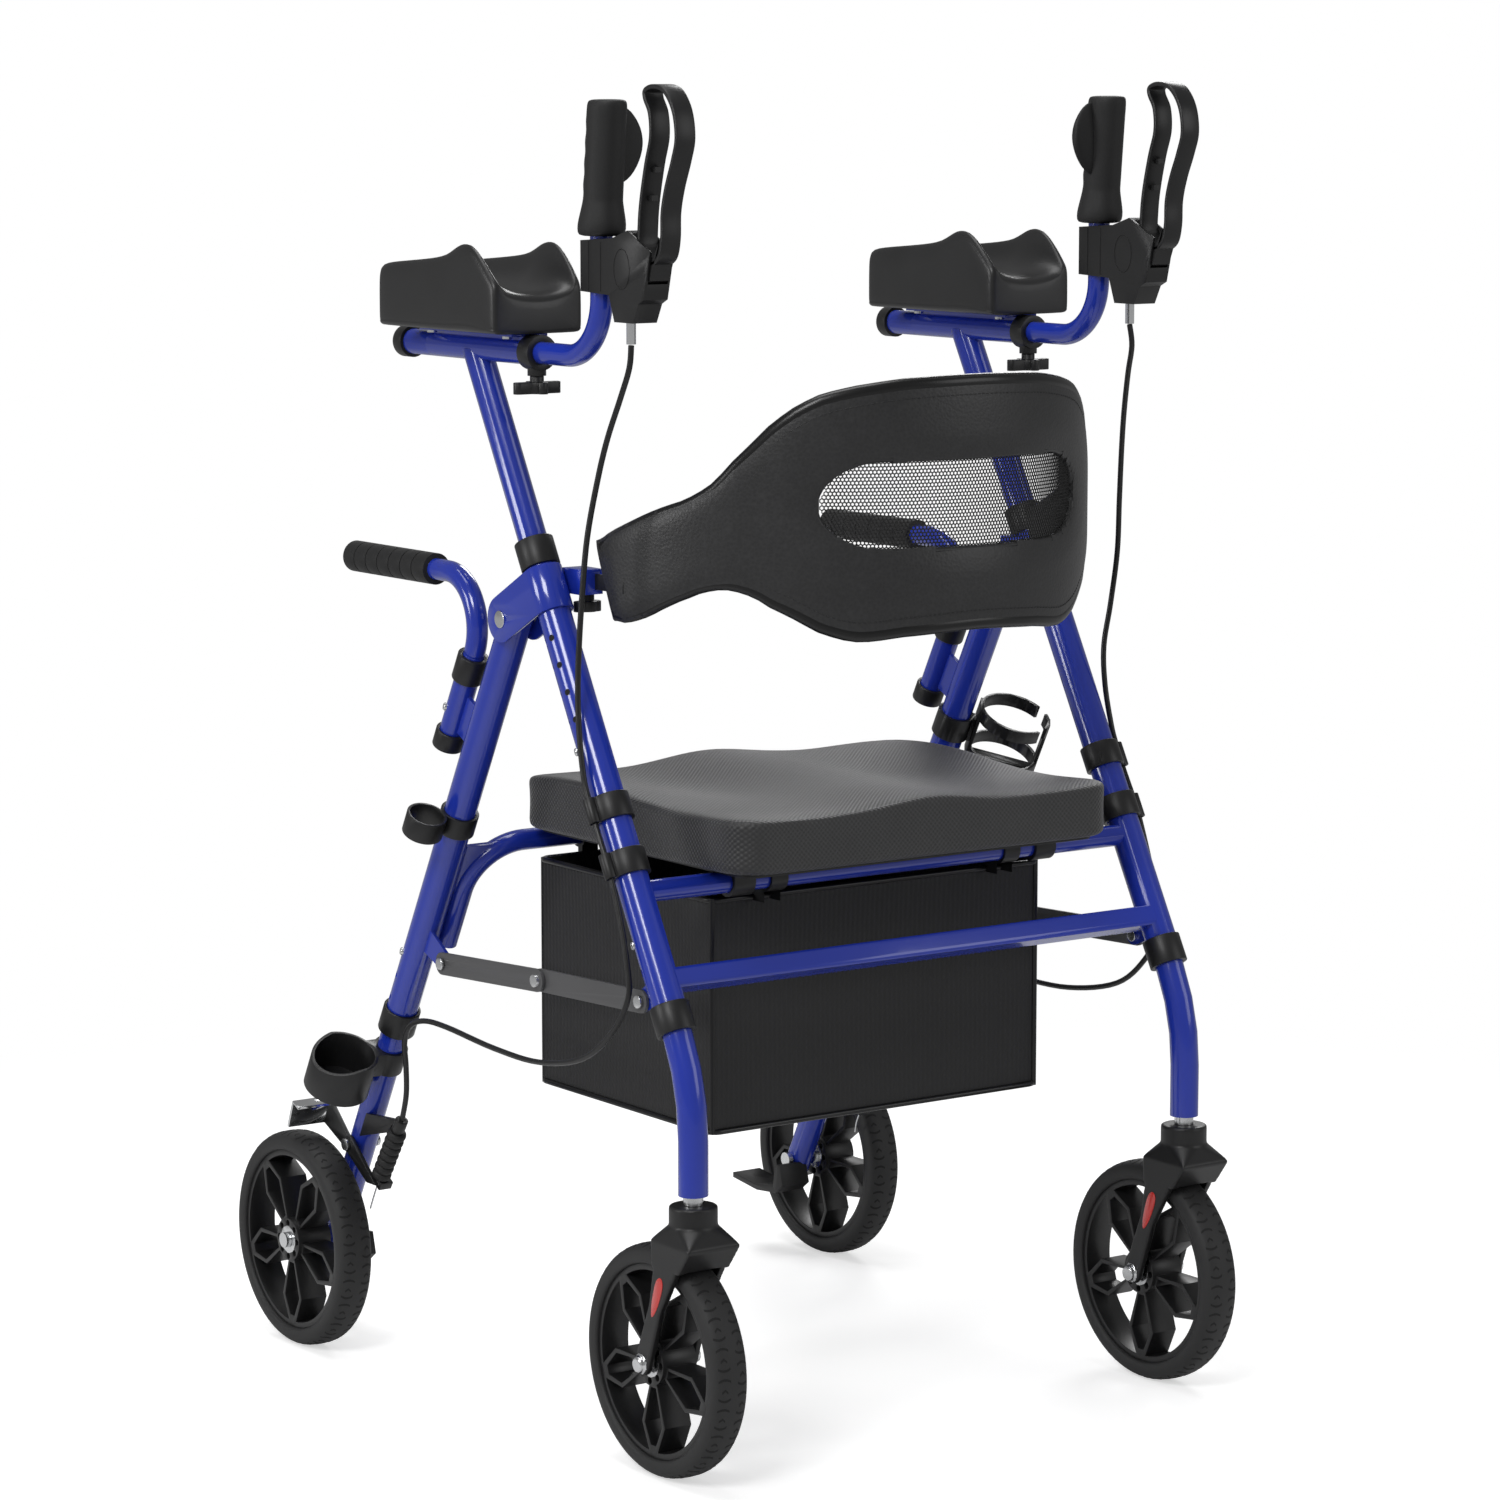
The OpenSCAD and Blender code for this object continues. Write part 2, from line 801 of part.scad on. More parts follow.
// The left cable bows out below its lever
function bow(z) =
  let (top = cable_route[0][2])
  z < cable_bow_z ? 0 : cable_bow * sin(180 * (top - z) / (top - cable_bow_z));

module brake_cables() {
  left = [for (p = cable_route) p + [bow(p[2]), 0, 0]];
  color(black) {
    on_side(RIGHT) cord(spline(cable_route, cable_steps), cable_d, cable_sides);
    on_side(LEFT) cord(spline(left, cable_steps), cable_d, cable_sides);
  }
}

// Front feet and casters

foot_corner_s = (caster_y - foot_y) / sin(front_tilt);
foot_corner_z = foot_z + foot_corner_s * cos(front_tilt);
foot_tangent = foot_bend_r * tan(front_tilt / 2);

module front_lower_leg(side) {
  low_s = foot_corner_s + foot_tangent;
  bend_z = foot_corner_z - foot_tangent;
  $fn = 32;
  on_side(side) {
    color(blue) difference() {
      union() {
        on_front(low_s) pipe(inner_od, inner_id, foot_top_s - low_s);
        elbow([caster_y + foot_bend_r, bend_z], foot_bend_r, 180 - front_tilt, front_tilt,
          inner_od, inner_id);
        translate([leg_x, caster_y, foot_low_z]) pipe(inner_od, inner_id, bend_z - foot_low_z);
      }
      for (k = [0:foot_holes - 1]) on_front(foot_button_s + k * hole_pitch) button_hole(leg_od);
    }
    color(steel) translate([leg_x, caster_y, fork_top_z - stem_l]) {
      cylinder(d = stem_d, h = stem_l + foot_low_z - fork_top_z);
      translate([0, 0, stem_l + gap]) cylinder(d = stem_nut_d, h = foot_low_z - fork_top_z - gap - seat_fit);
      translate([0, 0, stem_l + foot_low_z - fork_top_z])
        cylinder(d = inner_id - 2 * seat_fit, h = stem_plug_h);
    }
  }
}

// Side outline of a fork blade, seen from the caster axis on the floor
module blade_outline() {
  top = [blade_top_y, blade_top_z];
  low = [caster_trail, wheel_r];
  neck = top + blade_neck_share * (low - top);
  across = [low[1] - top[1], top[0] - low[0]] / norm(low - top);
  translate(top) circle(d = blade_top_d);
  translate(low) circle(d = blade_low_d);
  polygon([top - across * blade_top_d / 2, neck - across * blade_neck_w / 2, low - across * blade_low_d / 2,
    low + across * blade_low_d / 2, neck + across * blade_neck_w / 2, top + across * blade_top_d / 2]);
}

module reflector_outline() {
  top = [blade_top_y, blade_top_z];
  low = [caster_trail, wheel_r];
  dir = low - top;
  translate(top + blade_neck_share * dir) rotate([0, 0, atan2(dir[1], dir[0])])
    stadium(reflector_l, reflector_w);
}

module caster_fork(side) {
  blade_x = tyre_w / 2 + fork_in;
  out_x = blade_x + fork_blade_t;
  on_side(side) translate([leg_x, caster_y, 0]) {
    color(black) difference() {
      union() {
        translate([0, 0, fork_top_z - fork_cap_h]) cylinder(d = fork_cap_d, h = fork_cap_h);
        hull() {
          translate([0, 0, fork_top_z - fork_cap_h]) cylinder(d = fork_cap_d, h = fork_layer_t, $fn = 32);
          translate([-out_x, -fork_wide_front, fork_wide_z]) cube([2 * out_x, fork_wide_l, fork_layer_t]);
          translate([-out_x, -fork_chin_front, fork_chin_z]) cube([2 * out_x, fork_chin_l, fork_layer_t]);
        }
        for (x = [-out_x, blade_x]) side_view(x, fork_blade_t) blade_outline();
      }
      translate([0, caster_trail, wheel_r])
        rod_x(wheel_d + 2 * fork_clear, -blade_x, blade_x);
      translate([0, 0, fork_top_z - stem_l - over]) cylinder(d = stem_d + 2 * run_fit, h = stem_l + 2 * over);
      translate([0, caster_trail, wheel_r]) rod_x(axle_d, -out_x - over, out_x + over);
      for (x = [-out_x - over, out_x - reflector_t]) side_view(x, reflector_t + over) reflector_outline();
    }
    color(red) for (x = [-out_x, out_x - reflector_t]) side_view(x, reflector_t) reflector_outline();
    color(steel) translate([0, caster_trail, wheel_r])
      bolt_x(axle_d, axle_head_d, axle_head_h, -out_x, out_x);
  }
}

// Wheels, with the axle along z

module petal_outline(inset) {
  r0 = rim_in * petal_root_share;
  r1 = rim_in * petal_wide_share;
  r2 = rim_in + rim_t / 2;
  w = petal_w / 2 - inset;
  tip = w * petal_tip_share;
  end = r2 - 2 * inset;
  polygon([[r0 + inset, -tip], [r1, -w], [end, -tip], [end, tip], [r1, w], [r0 + inset, tip]]);
}

module rim_solid() {
  color(black) difference() {
    union() {
      translate([0, 0, -rim_w / 2]) pipe(2 * (rim_r - seat_fit), 2 * rim_in, rim_w);
      translate([0, 0, -rim_w / 2]) linear_extrude(rim_w) intersection() {
        circle(r = (rim_r + rim_in) / 2);
        for (k = [0:petals - 1]) rotate([0, 0, k * 360 / petals]) difference() {
          petal_outline(0);
          petal_outline(petal_t);
        }
      }
      translate([0, 0, -hub_w / 2]) cylinder(d = hub_d, h = hub_w);
    }
    translate([0, 0, -hub_w]) cylinder(d = axle_d + 2 * hub_clear, h = 2 * hub_w);
    for (m = [0, 1]) mirror([0, 0, m]) {
      translate([0, 0, hub_w / 2 - bearing_w]) cylinder(d = bearing_od, h = bearing_w + over);
      for (k = [0:pocket_n - 1]) rotate([0, 0, k * 360 / pocket_n])
        translate([hub_d / 2 * pocket_share, 0, hub_w / 2 - pocket_h])
          cylinder(d = pocket_d, h = pocket_h + over);
    }
  }
  color(steel) for (m = [0, 1]) mirror([0, 0, m]) translate([0, 0, hub_w / 2 - bearing_w])
    pipe(bearing_od, axle_d + 2 * run_fit, bearing_w);
}

module tyre_solid() {
  w = tyre_w / 2;
  color(dark) rotate_extrude() translate([rim_r, 0]) {
    translate([0, -w]) square([tyre_h - tyre_shoulder, tyre_w]);
    translate([0, -w + tyre_shoulder]) square([tyre_h, tyre_w - 2 * tyre_shoulder]);
    for (i = [-1, 1]) translate([tyre_h - tyre_shoulder, i * (w - tyre_shoulder)]) circle(tyre_shoulder);
  }
}

module wheel_at(side, x, y) {
  on_side(side) translate([x, y, wheel_r]) rotate([0, 90, 0]) children();
}

// Rear frame

module rear_leg() {
  difference() {
    union() {
      on_rear(rear_leg_low) cylinder(d = leg_od, h = rear_leg_high - rear_leg_low);
      on_rear(rear_stay_s) stay_tab(-rear_stay_off, tab_t / 2 + gap);
      on_rear(push_socket_low) translate([0, push_off, 0])
        cylinder(d = socket_od, h = push_socket_high - push_socket_low);
      on_rear(push_web_low) translate([-push_web_t / 2, 0, 0])
        cube([push_web_t, push_off, push_web_high - push_web_low]);
    }
    on_rear(rear_leg_low - over) cylinder(d = leg_bore, h = rear_leg_high - rear_leg_low + 2 * over);
    on_rear(push_socket_low - over) translate([0, push_off, 0])
      cylinder(d = socket_bore, h = push_socket_high - push_socket_low + 2 * over);
    on_rear(0) rod_x(hinge_bolt_d + 2 * run_fit, -leg_od, leg_od);
    for (k = [0:rear_holes - 1]) on_rear(rear_button_s - k * hole_pitch) button_hole(leg_od);
    on_rear(push_button_s) translate([0, push_off, 0]) button_hole(socket_od);
  }
}

// Half of the arch: a cross tube that bends to run down the inner side of the rear leg
module arch_half() {
  tail_x = leg_x - sqrt(pow(leg_r + cross_od / 2 - weld, 2) - pow(arch_front, 2));
  id = cross_od - 2 * cross_wall;
  p = rear_pt(arch_s, -arch_front);
  translate([0, p[0], p[1]]) rotate([rear_tilt, 0, 0]) {
    difference() {
      rod_x(cross_od, 0, tail_x - arch_bend_r);
      rod_x(id, -over, tail_x - arch_bend_r + over);
    }
    translate([tail_x - arch_bend_r, 0, -arch_bend_r]) rotate([90, 0, 0])
      rotate_extrude(angle = 90) translate([arch_bend_r, 0]) difference() {
        circle(d = cross_od);
        circle(d = id);
      }
    translate([tail_x, 0, -arch_bend_r - arch_tail]) pipe(cross_od, id, arch_tail);
    translate([tail_x - arch_bend_r, 0, 0]) arch_gusset();
  }
}

// Web in the corner between the arch and the leg
module arch_gusset() {
  t = push_web_t;
  difference() {
    translate([0, -t / 2, -arch_bend_r]) cube([arch_bend_r + cross_od / 2, t, arch_bend_r]);
    translate([0, -t, -arch_bend_r]) rotate([-90, 0, 0]) cylinder(r = arch_bend_r, h = 2 * t);
  }
}

module rear_frame() {
  color(blue) both() {
    rear_leg();
    arch_half();
  }
}

module rear_frame_fittings() {
  x0 = leg_x + tab_t / 2 + gap;
  both() {
    color(black) {
      on_rear(rear_leg_low - collar_lip + collar_h) mirror([0, 0, 1])
        collar(leg_od, inner_od + 2 * tube_fit);
      on_rear(push_socket_high + collar_lip - collar_h) translate([0, push_off, 0])
        collar(socket_od, handle_od + 2 * tube_fit);
      on_rear(push_socket_low - cap_t) translate([0, push_off, 0]) end_cap(socket_od, push_cap_h);
      on_rear(rear_leg_high) {
        cylinder(d = leg_od, h = cap_t);
        translate([0, 0, -cap_t]) cylinder(d = leg_bore, h = cap_t);
      }
    }
    color(steel) translate([0, stay_b[0], stay_b[1]])
      bolt_x(bolt_d, bolt_head_d, bolt_head_h, x0, x0 + tab_t + gap + stay_t + gap);
  }
}

// A cap over the end of a tube, closed below
module end_cap(od, h) {
  difference() {
    cylinder(d = od + 2 * cap_t, h = h);
    translate([0, 0, cap_t]) cylinder(d = od, h = h);
  }
}

// Rear feet, brakes

rear_foot_top = rear_button_s + (rear_holes - 1) * hole_pitch + tube_end;

module rear_lower_leg(side) {
  low_s = rear_axle_s - rear_foot_end;
  wheel_in = rear_wheel_out - hub_w / 2;
  wheel_end = rear_wheel_out + hub_w / 2;
  on_side(side) {
    color(blue) difference() {
      on_rear(low_s) pipe(inner_od, inner_id, rear_foot_top - low_s);
      on_rear(rear_axle_s) rod_x(axle_d + 2 * seat_fit, -leg_od, leg_od);
      on_rear(brake_s) rod_x(brake_pin_d, -leg_od, leg_od);
      for (k = [0:rear_holes - 1]) on_rear(rear_button_s + k * hole_pitch) button_hole(leg_od);
    }
    color(steel) translate([leg_x, rear_axle_y, wheel_r]) {
      bolt_x(axle_d, axle_head_d, axle_head_h, -inner_od / 2 - seat_fit, wheel_end + gap);
      rod_x(rear_spacer_d, inner_od / 2 + seat_fit, wheel_in - gap);
    }
  }
}

// Ribbed rubber boot along z
module boot(h) {
  n = boot_ribs;
  r = boot_d / 2;
  step = h / n;
  rotate_extrude() difference() {
    union() {
      square([r * boot_rib_share, h]);
      for (k = [0:n - 1]) translate([r * boot_rib_share, (k + 0.5) * step])
        scale([r * (1 - boot_rib_share) / (step / 2), 1]) circle(step / 2);
    }
    translate([-r, -over]) square([r + boot_bore / 2, h + 2 * over]);
  }
}

// Local frame of the boot: z runs up it from the brake arm
module on_boot() {
  axis = boot_high - boot_low;
  translate([leg_x + boot_x, boot_low[0], boot_low[1]])
    rotate([atan2(-axis[0], axis[1]), 0, 0]) children();
}

module brake_boot(side) {
  color(black) on_side(side) on_boot()
    translate([0, 0, gap]) boot(norm(boot_high - boot_low) - gap - seat_fit);
}

module brake_mount(side) {
  axis = boot_high - boot_low;
  x = leg_x + boot_x;
  p = rear_pt(brake_s, 0);
  on_side(side) {
    color(black) {
      on_boot() translate([0, 0, norm(axis)]) pipe(stop_d, boot_bore, stop_h);
      difference() {
        translate([x - mount_t / 2, 0, 0]) side_view(0, mount_t) polygon([
          boot_high, boot_high + axis * stop_h / norm(axis),
          rear_pt(brake_s + mount_h + stop_h, 0), rear_pt(brake_s + mount_h - stop_h, 0)]);
        on_rear(rear_axle_s) cylinder(d = inner_od, h = rear_foot_top - rear_axle_s);
        on_boot() cylinder(d = stop_d, h = 2 * norm(axis));
        on_boot() cylinder(d = boot_d + 2 * gap, h = norm(axis));
      }
      curb_pedal();
    }
    color(steel) translate([leg_x, p[0], p[1]])
      bolt_x(brake_pin_d, bolt_head_d, bolt_head_h, -inner_od / 2, inner_od / 2 + 2 * gap + brake_arm_t);
  }
}

// Tongue on the inner side of the rear foot that helps tip the walker over a curb, in shares of its length
curb_shares = [
  [-0.40, 0.35], [-0.49, 0.00], [-0.28, -0.16], [0.28, -0.21], [1.00, -0.12], [1.00, -0.03], [0.30, -0.11],
  [-0.21, -0.04], [-0.26, 0.35],
];

module curb_pedal() {
  low_s = rear_axle_s - rear_foot_end;
  difference() {
    side_view(leg_x - inner_od / 2 - curb_w, curb_w + inner_od / 2)
      translate(rear_pt(low_s, 0)) polygon(curb_l * curb_shares);
    on_rear(low_s - curb_l) cylinder(d = inner_od, h = 2 * curb_l);
    translate([leg_x, rear_axle_y, wheel_r]) rod_x(axle_head_d + 2 * gap, -2 * leg_od, 0);
  }
}

module brake_arm(side) {
  x0 = leg_x + inner_od / 2 + gap;
  p = rear_pt(brake_s, 0);
  foot = boot_low - (boot_high - boot_low) / norm(boot_high - boot_low) * cup_block_h;
  tyre_top = [rear_axle_y, wheel_d];
  shoe_low = tyre_top + [-shoe_side, shoe_gap];
  shoe_high = shoe_low + [-shoe_side, shoe_h];
  on_side(side) {
    color(black) difference() {
      union() {
        side_view(x0, brake_arm_t) {
          translate(p) circle(d = 2 * brake_pin_d);
          polygon([p + [0, brake_pin_d], p - [brake_pin_d / 2, brake_pin_d], shoe_low, shoe_high]);
          polygon([p + [0, -brake_pin_d], foot + [brake_pin_d, 0], foot - [brake_pin_d, 0],
            p + [-brake_pin_d / 2, brake_pin_d]]);
        }
        translate([leg_x + boot_x - boot_d / 2, 0, 0]) side_view(0, x0 - leg_x - boot_x + boot_d / 2)
          translate(foot) rotate([0, 0, 90 + atan2(boot_high[1] - boot_low[1], boot_high[0] - boot_low[0])])
            translate([-boot_d / 2, -cup_block_h + gap]) square([boot_d, cup_block_h]);
      }
      translate([0, p[0], p[1]]) rod_x(brake_pin_d + 2 * run_fit, x0 - over, x0 + brake_arm_t + over);
    }
    color(steel) side_view(x0 + brake_arm_t, shoe_w) polygon([
      shoe_low, shoe_high, shoe_high + [-shoe_side, -shoe_side / 2],
      shoe_high + [-shoe_side, -shoe_side / 2 + shoe_t], shoe_high + [shoe_t / 2, shoe_t],
      shoe_low + [shoe_t, shoe_t / 2]]);
  }
}

// Arms

module arm_post(side) {
  top_s = (forearm_z - foot_z) / cos(front_tilt);
  low_s = post_low_s;
  p = front_pt(top_s, 0);
  on_side(side) {
    color(blue) difference() {
      union() {
        on_front(low_s) cylinder(d = inner_od, h = top_s - low_s);
        translate([leg_x, forearm_front_y, forearm_z]) rod_y(socket_od, forearm_rear_y - forearm_front_y);
        translate([leg_x - plate_w / 2, plate_y, forearm_z])
          cube([plate_w, plate_l, pad_low_z - forearm_z]);
      }
      on_front(low_s - over) cylinder(d = inner_id, h = top_s - low_s + over);
      translate([leg_x, forearm_front_y - over, forearm_z])
        rod_y(socket_bore, forearm_rear_y - forearm_front_y + 2 * over);
      plate_relief();
      for (k = [0:post_holes - 1]) on_front(post_button_s - k * hole_pitch) button_hole(leg_od);
    }
    color(black) {
      translate([leg_x, forearm_rear_y + cap_t, forearm_z]) rotate([90, 0, 0]) end_cap(socket_od, cap_l);
      clamp_ring();
    }
    color(steel) for (y = [plate_y + plate_bolt_edge, plate_y + plate_l - plate_bolt_edge])
      for (i = [-1, 1]) translate([leg_x + i * (plate_w / 2 - plate_bolt_d / 2), y, pad_low_z - plate_t])
        mirror([0, 0, 1]) cylinder(d = plate_bolt_d, h = plate_bolt_h);
  }
}

// Space beside the forearm tube, under the pad's plate
module plate_relief() {
  for (i = [-1, 1]) translate([leg_x + i * (socket_od / 4 + plate_w / 2), plate_y - over, forearm_z - over])
    translate([-plate_w / 2, 0, 0])
      cube([plate_w, plate_l + 2 * over, pad_low_z - plate_t - forearm_z + over]);
}

// Ring that clamps the handle tube, with a boss for its knob
module clamp_ring() {
  y0 = forearm_front_y - clamp_l / 2;
  difference() {
    union() {
      translate([leg_x, y0, forearm_z]) rod_y(socket_od + 2 * clamp_t, clamp_l);
      translate([leg_x, forearm_front_y, forearm_z - socket_od / 2 - clamp_t - clamp_boss_h / 2])
        cylinder(d = clamp_boss_d, h = clamp_boss_h);
    }
    translate([leg_x, forearm_front_y, forearm_z]) rod_y(socket_od, clamp_l);
    translate([leg_x, y0 - over, forearm_z]) rod_y(socket_bore, clamp_l);
    translate([leg_x, forearm_front_y, forearm_z - 2 * socket_od])
      cylinder(d = knob_screw_d + 2 * run_fit, h = 2 * socket_od);
  }
}

module clamp_knob(side) {
  z = forearm_z - socket_od / 2 - clamp_t - clamp_boss_h / 2 - gap;
  color(black) on_side(side) translate([leg_x, forearm_front_y, z]) {
    cylinder(d = knob_screw_d, h = knob_screw_h);
    mirror([0, 0, 1]) {
      cylinder(d = knob_stem_d, h = knob_stem_h);
      translate([0, 0, knob_stem_h]) linear_extrude(knob_h) {
        stadium(knob_wing, knob_wing_t);
        rotate([0, 0, 90]) stadium(knob_wing * knob_cross_share, knob_wing_t);
        circle(d = knob_hub_d);
      }
    }
  }
}

// Moulded trough for the forearm, with two raised peaks at its front. Each station gives its place as a
// share of the pad's length, the rim's height as a share of the peak, and the half width as a share.
pad_shares = [
  [0.00, 0.66, 0.92], [0.03, 0.725, 0.98], [0.25, 0.77, 1.00], [0.50, 0.83, 1.00], [0.60, 0.87, 1.00],
  [0.69, 0.975, 1.00], [0.76, 1.00, 1.00], [0.83, 0.97, 0.99], [0.92, 0.80, 0.97], [0.98, 0.66, 0.94],
  [1.00, 0.62, 0.90],
];
pad_side_shares = [[0.86, 0], [1, 0.16], [1, 0.60], [0.985, 0.88], [0.93, 0.98]];
pad_lip_share = 0.80;
pad_trough_power = 0.8;
pad_trough_n = 10;

function pad_ring(st) =
  let (y = pad_rear_y + st[0] * (pad_front_y - pad_rear_y), rim = pad_peak_h * st[1], w = pad_w / 2 * st[2],
    outer = [for (q = pad_side_shares) [-w * q[0], rim * q[1]]],
    trough = [for (i = [0:pad_trough_n]) let (a = 180 * i / pad_trough_n)
      [-cos(a) * w * pad_lip_share, rim - (rim - pad_floor_h) * pow(sin(a), pad_trough_power)]],
    right = [for (i = [len(outer) - 1:-1:0]) [-outer[i][0], outer[i][1]]])
  [for (q = concat([[0, 0]], outer, trough, right)) [leg_x + q[0], y, pad_low_z + q[1]]];

module forearm_pad(side) {
  rings = [for (st = pad_shares) pad_ring(st)];
  n = len(rings[0]);
  m = len(rings);
  sides = [for (i = [0:m - 2]) for (j = [0:n - 1]) each [
    [i * n + j, (i + 1) * n + j, i * n + (j + 1) % n],
    [(i + 1) * n + j, (i + 1) * n + (j + 1) % n, i * n + (j + 1) % n]]];
  first = [for (j = [0:n - 3]) [0, j + 1, j + 2]];
  last = [for (f = first) [for (k = [2, 1, 0]) f[k] + (m - 1) * n]];
  color(dark) on_side(side)
    polyhedron([for (r = rings) each r], concat(first, sides, last), convexity = 8);
}

module handle_tube(side) {
  c = [grip_y + handle_bend_r, forearm_z + handle_bend_r];
  grip_end = grip_low_z + grip_core_share * (grip_high_z - grip_low_z);
  color(blue) on_side(side) {
    translate([leg_x, grip_y + handle_bend_r, forearm_z]) difference() {
      rod_y(handle_od, forearm_front_y + handle_insert - c[0]);
      translate([0, -over, 0]) rod_y(handle_id, forearm_front_y + handle_insert - c[0] + 2 * over);
    }
    elbow(c, handle_bend_r, 180, 90, handle_od, handle_id);
    translate([leg_x, grip_y, c[1]]) pipe(handle_od, handle_id, grip_end - c[1]);
  }
}

module hand_grip(side) {
  r = grip_od / 2;
  h = grip_high_z - grip_low_z;
  color(black) on_side(side) translate([leg_x, grip_y, grip_low_z]) difference() {
    union() {
      cylinder(r1 = r + grip_flare / 2, r2 = r, h = grip_flare_h);
      hull() {
        cylinder(r = r, h = grip_flare_h, $fn = 32);
        translate([0, -grip_lean, h - grip_layer_t]) cylinder(r = r - grip_slim, h = grip_layer_t, $fn = 32);
      }
      translate([0, flap_t / 2 - grip_lean * flap_z_share, h * flap_z_share]) rotate([90, 0, 0])
        linear_extrude(flap_t) {
          translate([flap_r - flap_reach, 0]) circle(flap_r);
          translate([flap_r - flap_reach, -flap_r]) square([flap_reach - flap_r, 2 * flap_r]);
        }
    }
    translate([0, 0, -over]) cylinder(d = handle_od, h = h * grip_core_share + over);
  }
}

// Side outline of the brake housing, in shares of the distance from the tube to the lever's pivot across,
// and of the distance from its lower end to the pivot upwards
housing_shares = [
  [-0.17, 0.60], [-0.17, 1.58], [0.42, 1.65], [0.70, 1.81], [1.12, 1.42], [1.00, 0.51], [0.90, 0.42],
  [0.80, 0.05], [0.46, 0.05], [0.36, 0.56],
];

module brake_housing(side) {
  span = [lever_pivot[0], lever_pivot[1] - housing_low_z];
  box_y = grip_y + lever_pivot[0];
  ferrule_z = cable_route[0][2] + 3 * gap;
  on_side(side) {
    color(dark) difference() {
      side_view(leg_x - housing_w / 2, housing_w) translate([grip_y, housing_low_z])
        polygon([for (q = housing_shares) [q[0] * span[0], q[1] * span[1]]]);
      translate([leg_x, grip_y, housing_low_z - over]) cylinder(d = handle_od, h = 2 * span[1]);
      translate([0, box_y, lever_pivot[1]]) lever_space();
    }
    color(steel) {
      translate([leg_x, grip_y + ferrule_y, ferrule_z])
        pipe(ferrule_d, ferrule_bore, housing_low_z + ferrule_seat - ferrule_z);
      translate([leg_x, box_y, lever_pivot[1]]) rod_x(lever_pin_d, -housing_w / 2 - gap, housing_w / 2 + gap);
    }
  }
}

// Room in the housing for the lever's root and its swing
module lever_space() {
  w = lever_w + 2 * gap;
  side_view(leg_x - w / 2, w) {
    circle(d = lever_hub_d + lever_clear);
    for (a = [0, lever_swing]) rotate(-a) translate([-lever_reach, -lever_hub_d / 2])
      square([lever_reach + lever_hub_d / 2 + lever_clear, lever_h]);
  }
}

// Loop of the brake lever, in shares of its reach forward and its height above the pivot
lever_shares = [
  [0.12, 0.00], [0.40, 0.20], [0.72, 0.42], [0.92, 0.60], [0.98, 0.70], [0.86, 0.86], [0.55, 0.985],
  [0.20, 1.00], [-0.10, 0.985], [-0.12, 0.93], [0.06, 0.84], [0.10, 0.72], [-0.04, 0.58], [-0.18, 0.40],
  [-0.20, 0.26], [-0.10, 0.00],
];
lever_slot_shares = [
  [0.16, 0.19], [0.44, 0.34], [0.66, 0.50], [0.76, 0.66], [0.66, 0.80], [0.42, 0.90], [0.26, 0.86],
  [0.28, 0.72], [0.12, 0.56], [-0.02, 0.40], [-0.02, 0.27],
];

module brake_lever(side) {
  at = [grip_y + lever_pivot[0], lever_pivot[1]];
  function pts(t) = [for (q = t) [-q[0] * lever_reach, q[1] * lever_h]];
  color(black) on_side(side) difference() {
    union() {
      translate([leg_x, at[0], at[1]]) rod_x(lever_hub_d, -lever_w / 2, lever_w / 2);
      side_view(leg_x - lever_w / 2, lever_w) translate(at) difference() {
        polygon(loop(pts(lever_shares), lever_steps));
        polygon(loop(pts(lever_slot_shares), lever_steps));
      }
    }
    translate([leg_x, at[0], at[1]]) rod_x(lever_pin_d + 2 * run_fit, -housing_w, housing_w);
  }
}

// Push handles

module push_handle(side) {
  corner_s = (push_grip_z - rear_pt(0, push_off)[1]) / cos(rear_tilt);
  corner = rear_pt(corner_s, push_off);
  turn = 90 + rear_tilt;
  reach = push_bend_r * tan(turn / 2);
  c = [corner[0] + reach, push_grip_z - push_bend_r];
  low_s = push_button_s - (push_holes - 1) * hole_pitch - push_end;
  on_side(side) {
    color(blue) difference() {
      union() {
        on_rear(low_s) translate([0, push_off, 0]) pipe(handle_od, handle_id, corner_s - reach - low_s);
        elbow(c, push_bend_r, 90, turn, handle_od, handle_id);
        translate([leg_x, c[0], push_grip_z]) difference() {
          rod_y(handle_od, push_lead + push_grip_l);
          translate([0, -over, 0]) rod_y(handle_id, push_lead + push_grip_l + 2 * over);
        }
      }
      for (k = [0:push_holes - 1]) on_rear(push_button_s - k * hole_pitch)
        translate([0, push_off, 0]) button_hole(socket_od);
    }
    color(black) translate([leg_x, c[0] + push_lead + push_grip_t, push_grip_z]) difference() {
      rod_y(push_grip_od, push_grip_l);
      translate([0, -over, 0]) rod_y(handle_od, push_grip_l - push_grip_t + over);
      for (k = [1:push_groove_n]) translate([0, k * push_grip_l / (push_groove_n + 1), 0])
        rotate([-90, 0, 0]) pipe(push_grip_od + 2 * over, push_grip_od - push_groove, push_groove);
    }
  }
}

// Folding stays

module stay_link(p, q, x) {
  d = q - p;
  side_view(x, stay_t) translate(p) rotate([0, 0, atan2(d[1], d[0])]) difference() {
    union() {
      translate([0, -stay_w / 2]) square([norm(d), stay_w]);
      circle(d = stay_w);
      translate([norm(d), 0]) circle(d = stay_w);
    }
    circle(d = bolt_d + 2 * run_fit);
    translate([norm(d), 0]) circle(d = bolt_d);
  }
}

module front_stays() {
  x = leg_x + tab_t / 2 + gap;
  both() {
    color(grey) stay_link(stay_a, stay_m, x);
    color(steel) translate([0, stay_m[0], stay_m[1]]) {
      rod_x(bolt_d, x, x + stay_t);
      rod_x(bolt_head_d, x - bolt_head_h, x);
    }
  }
}

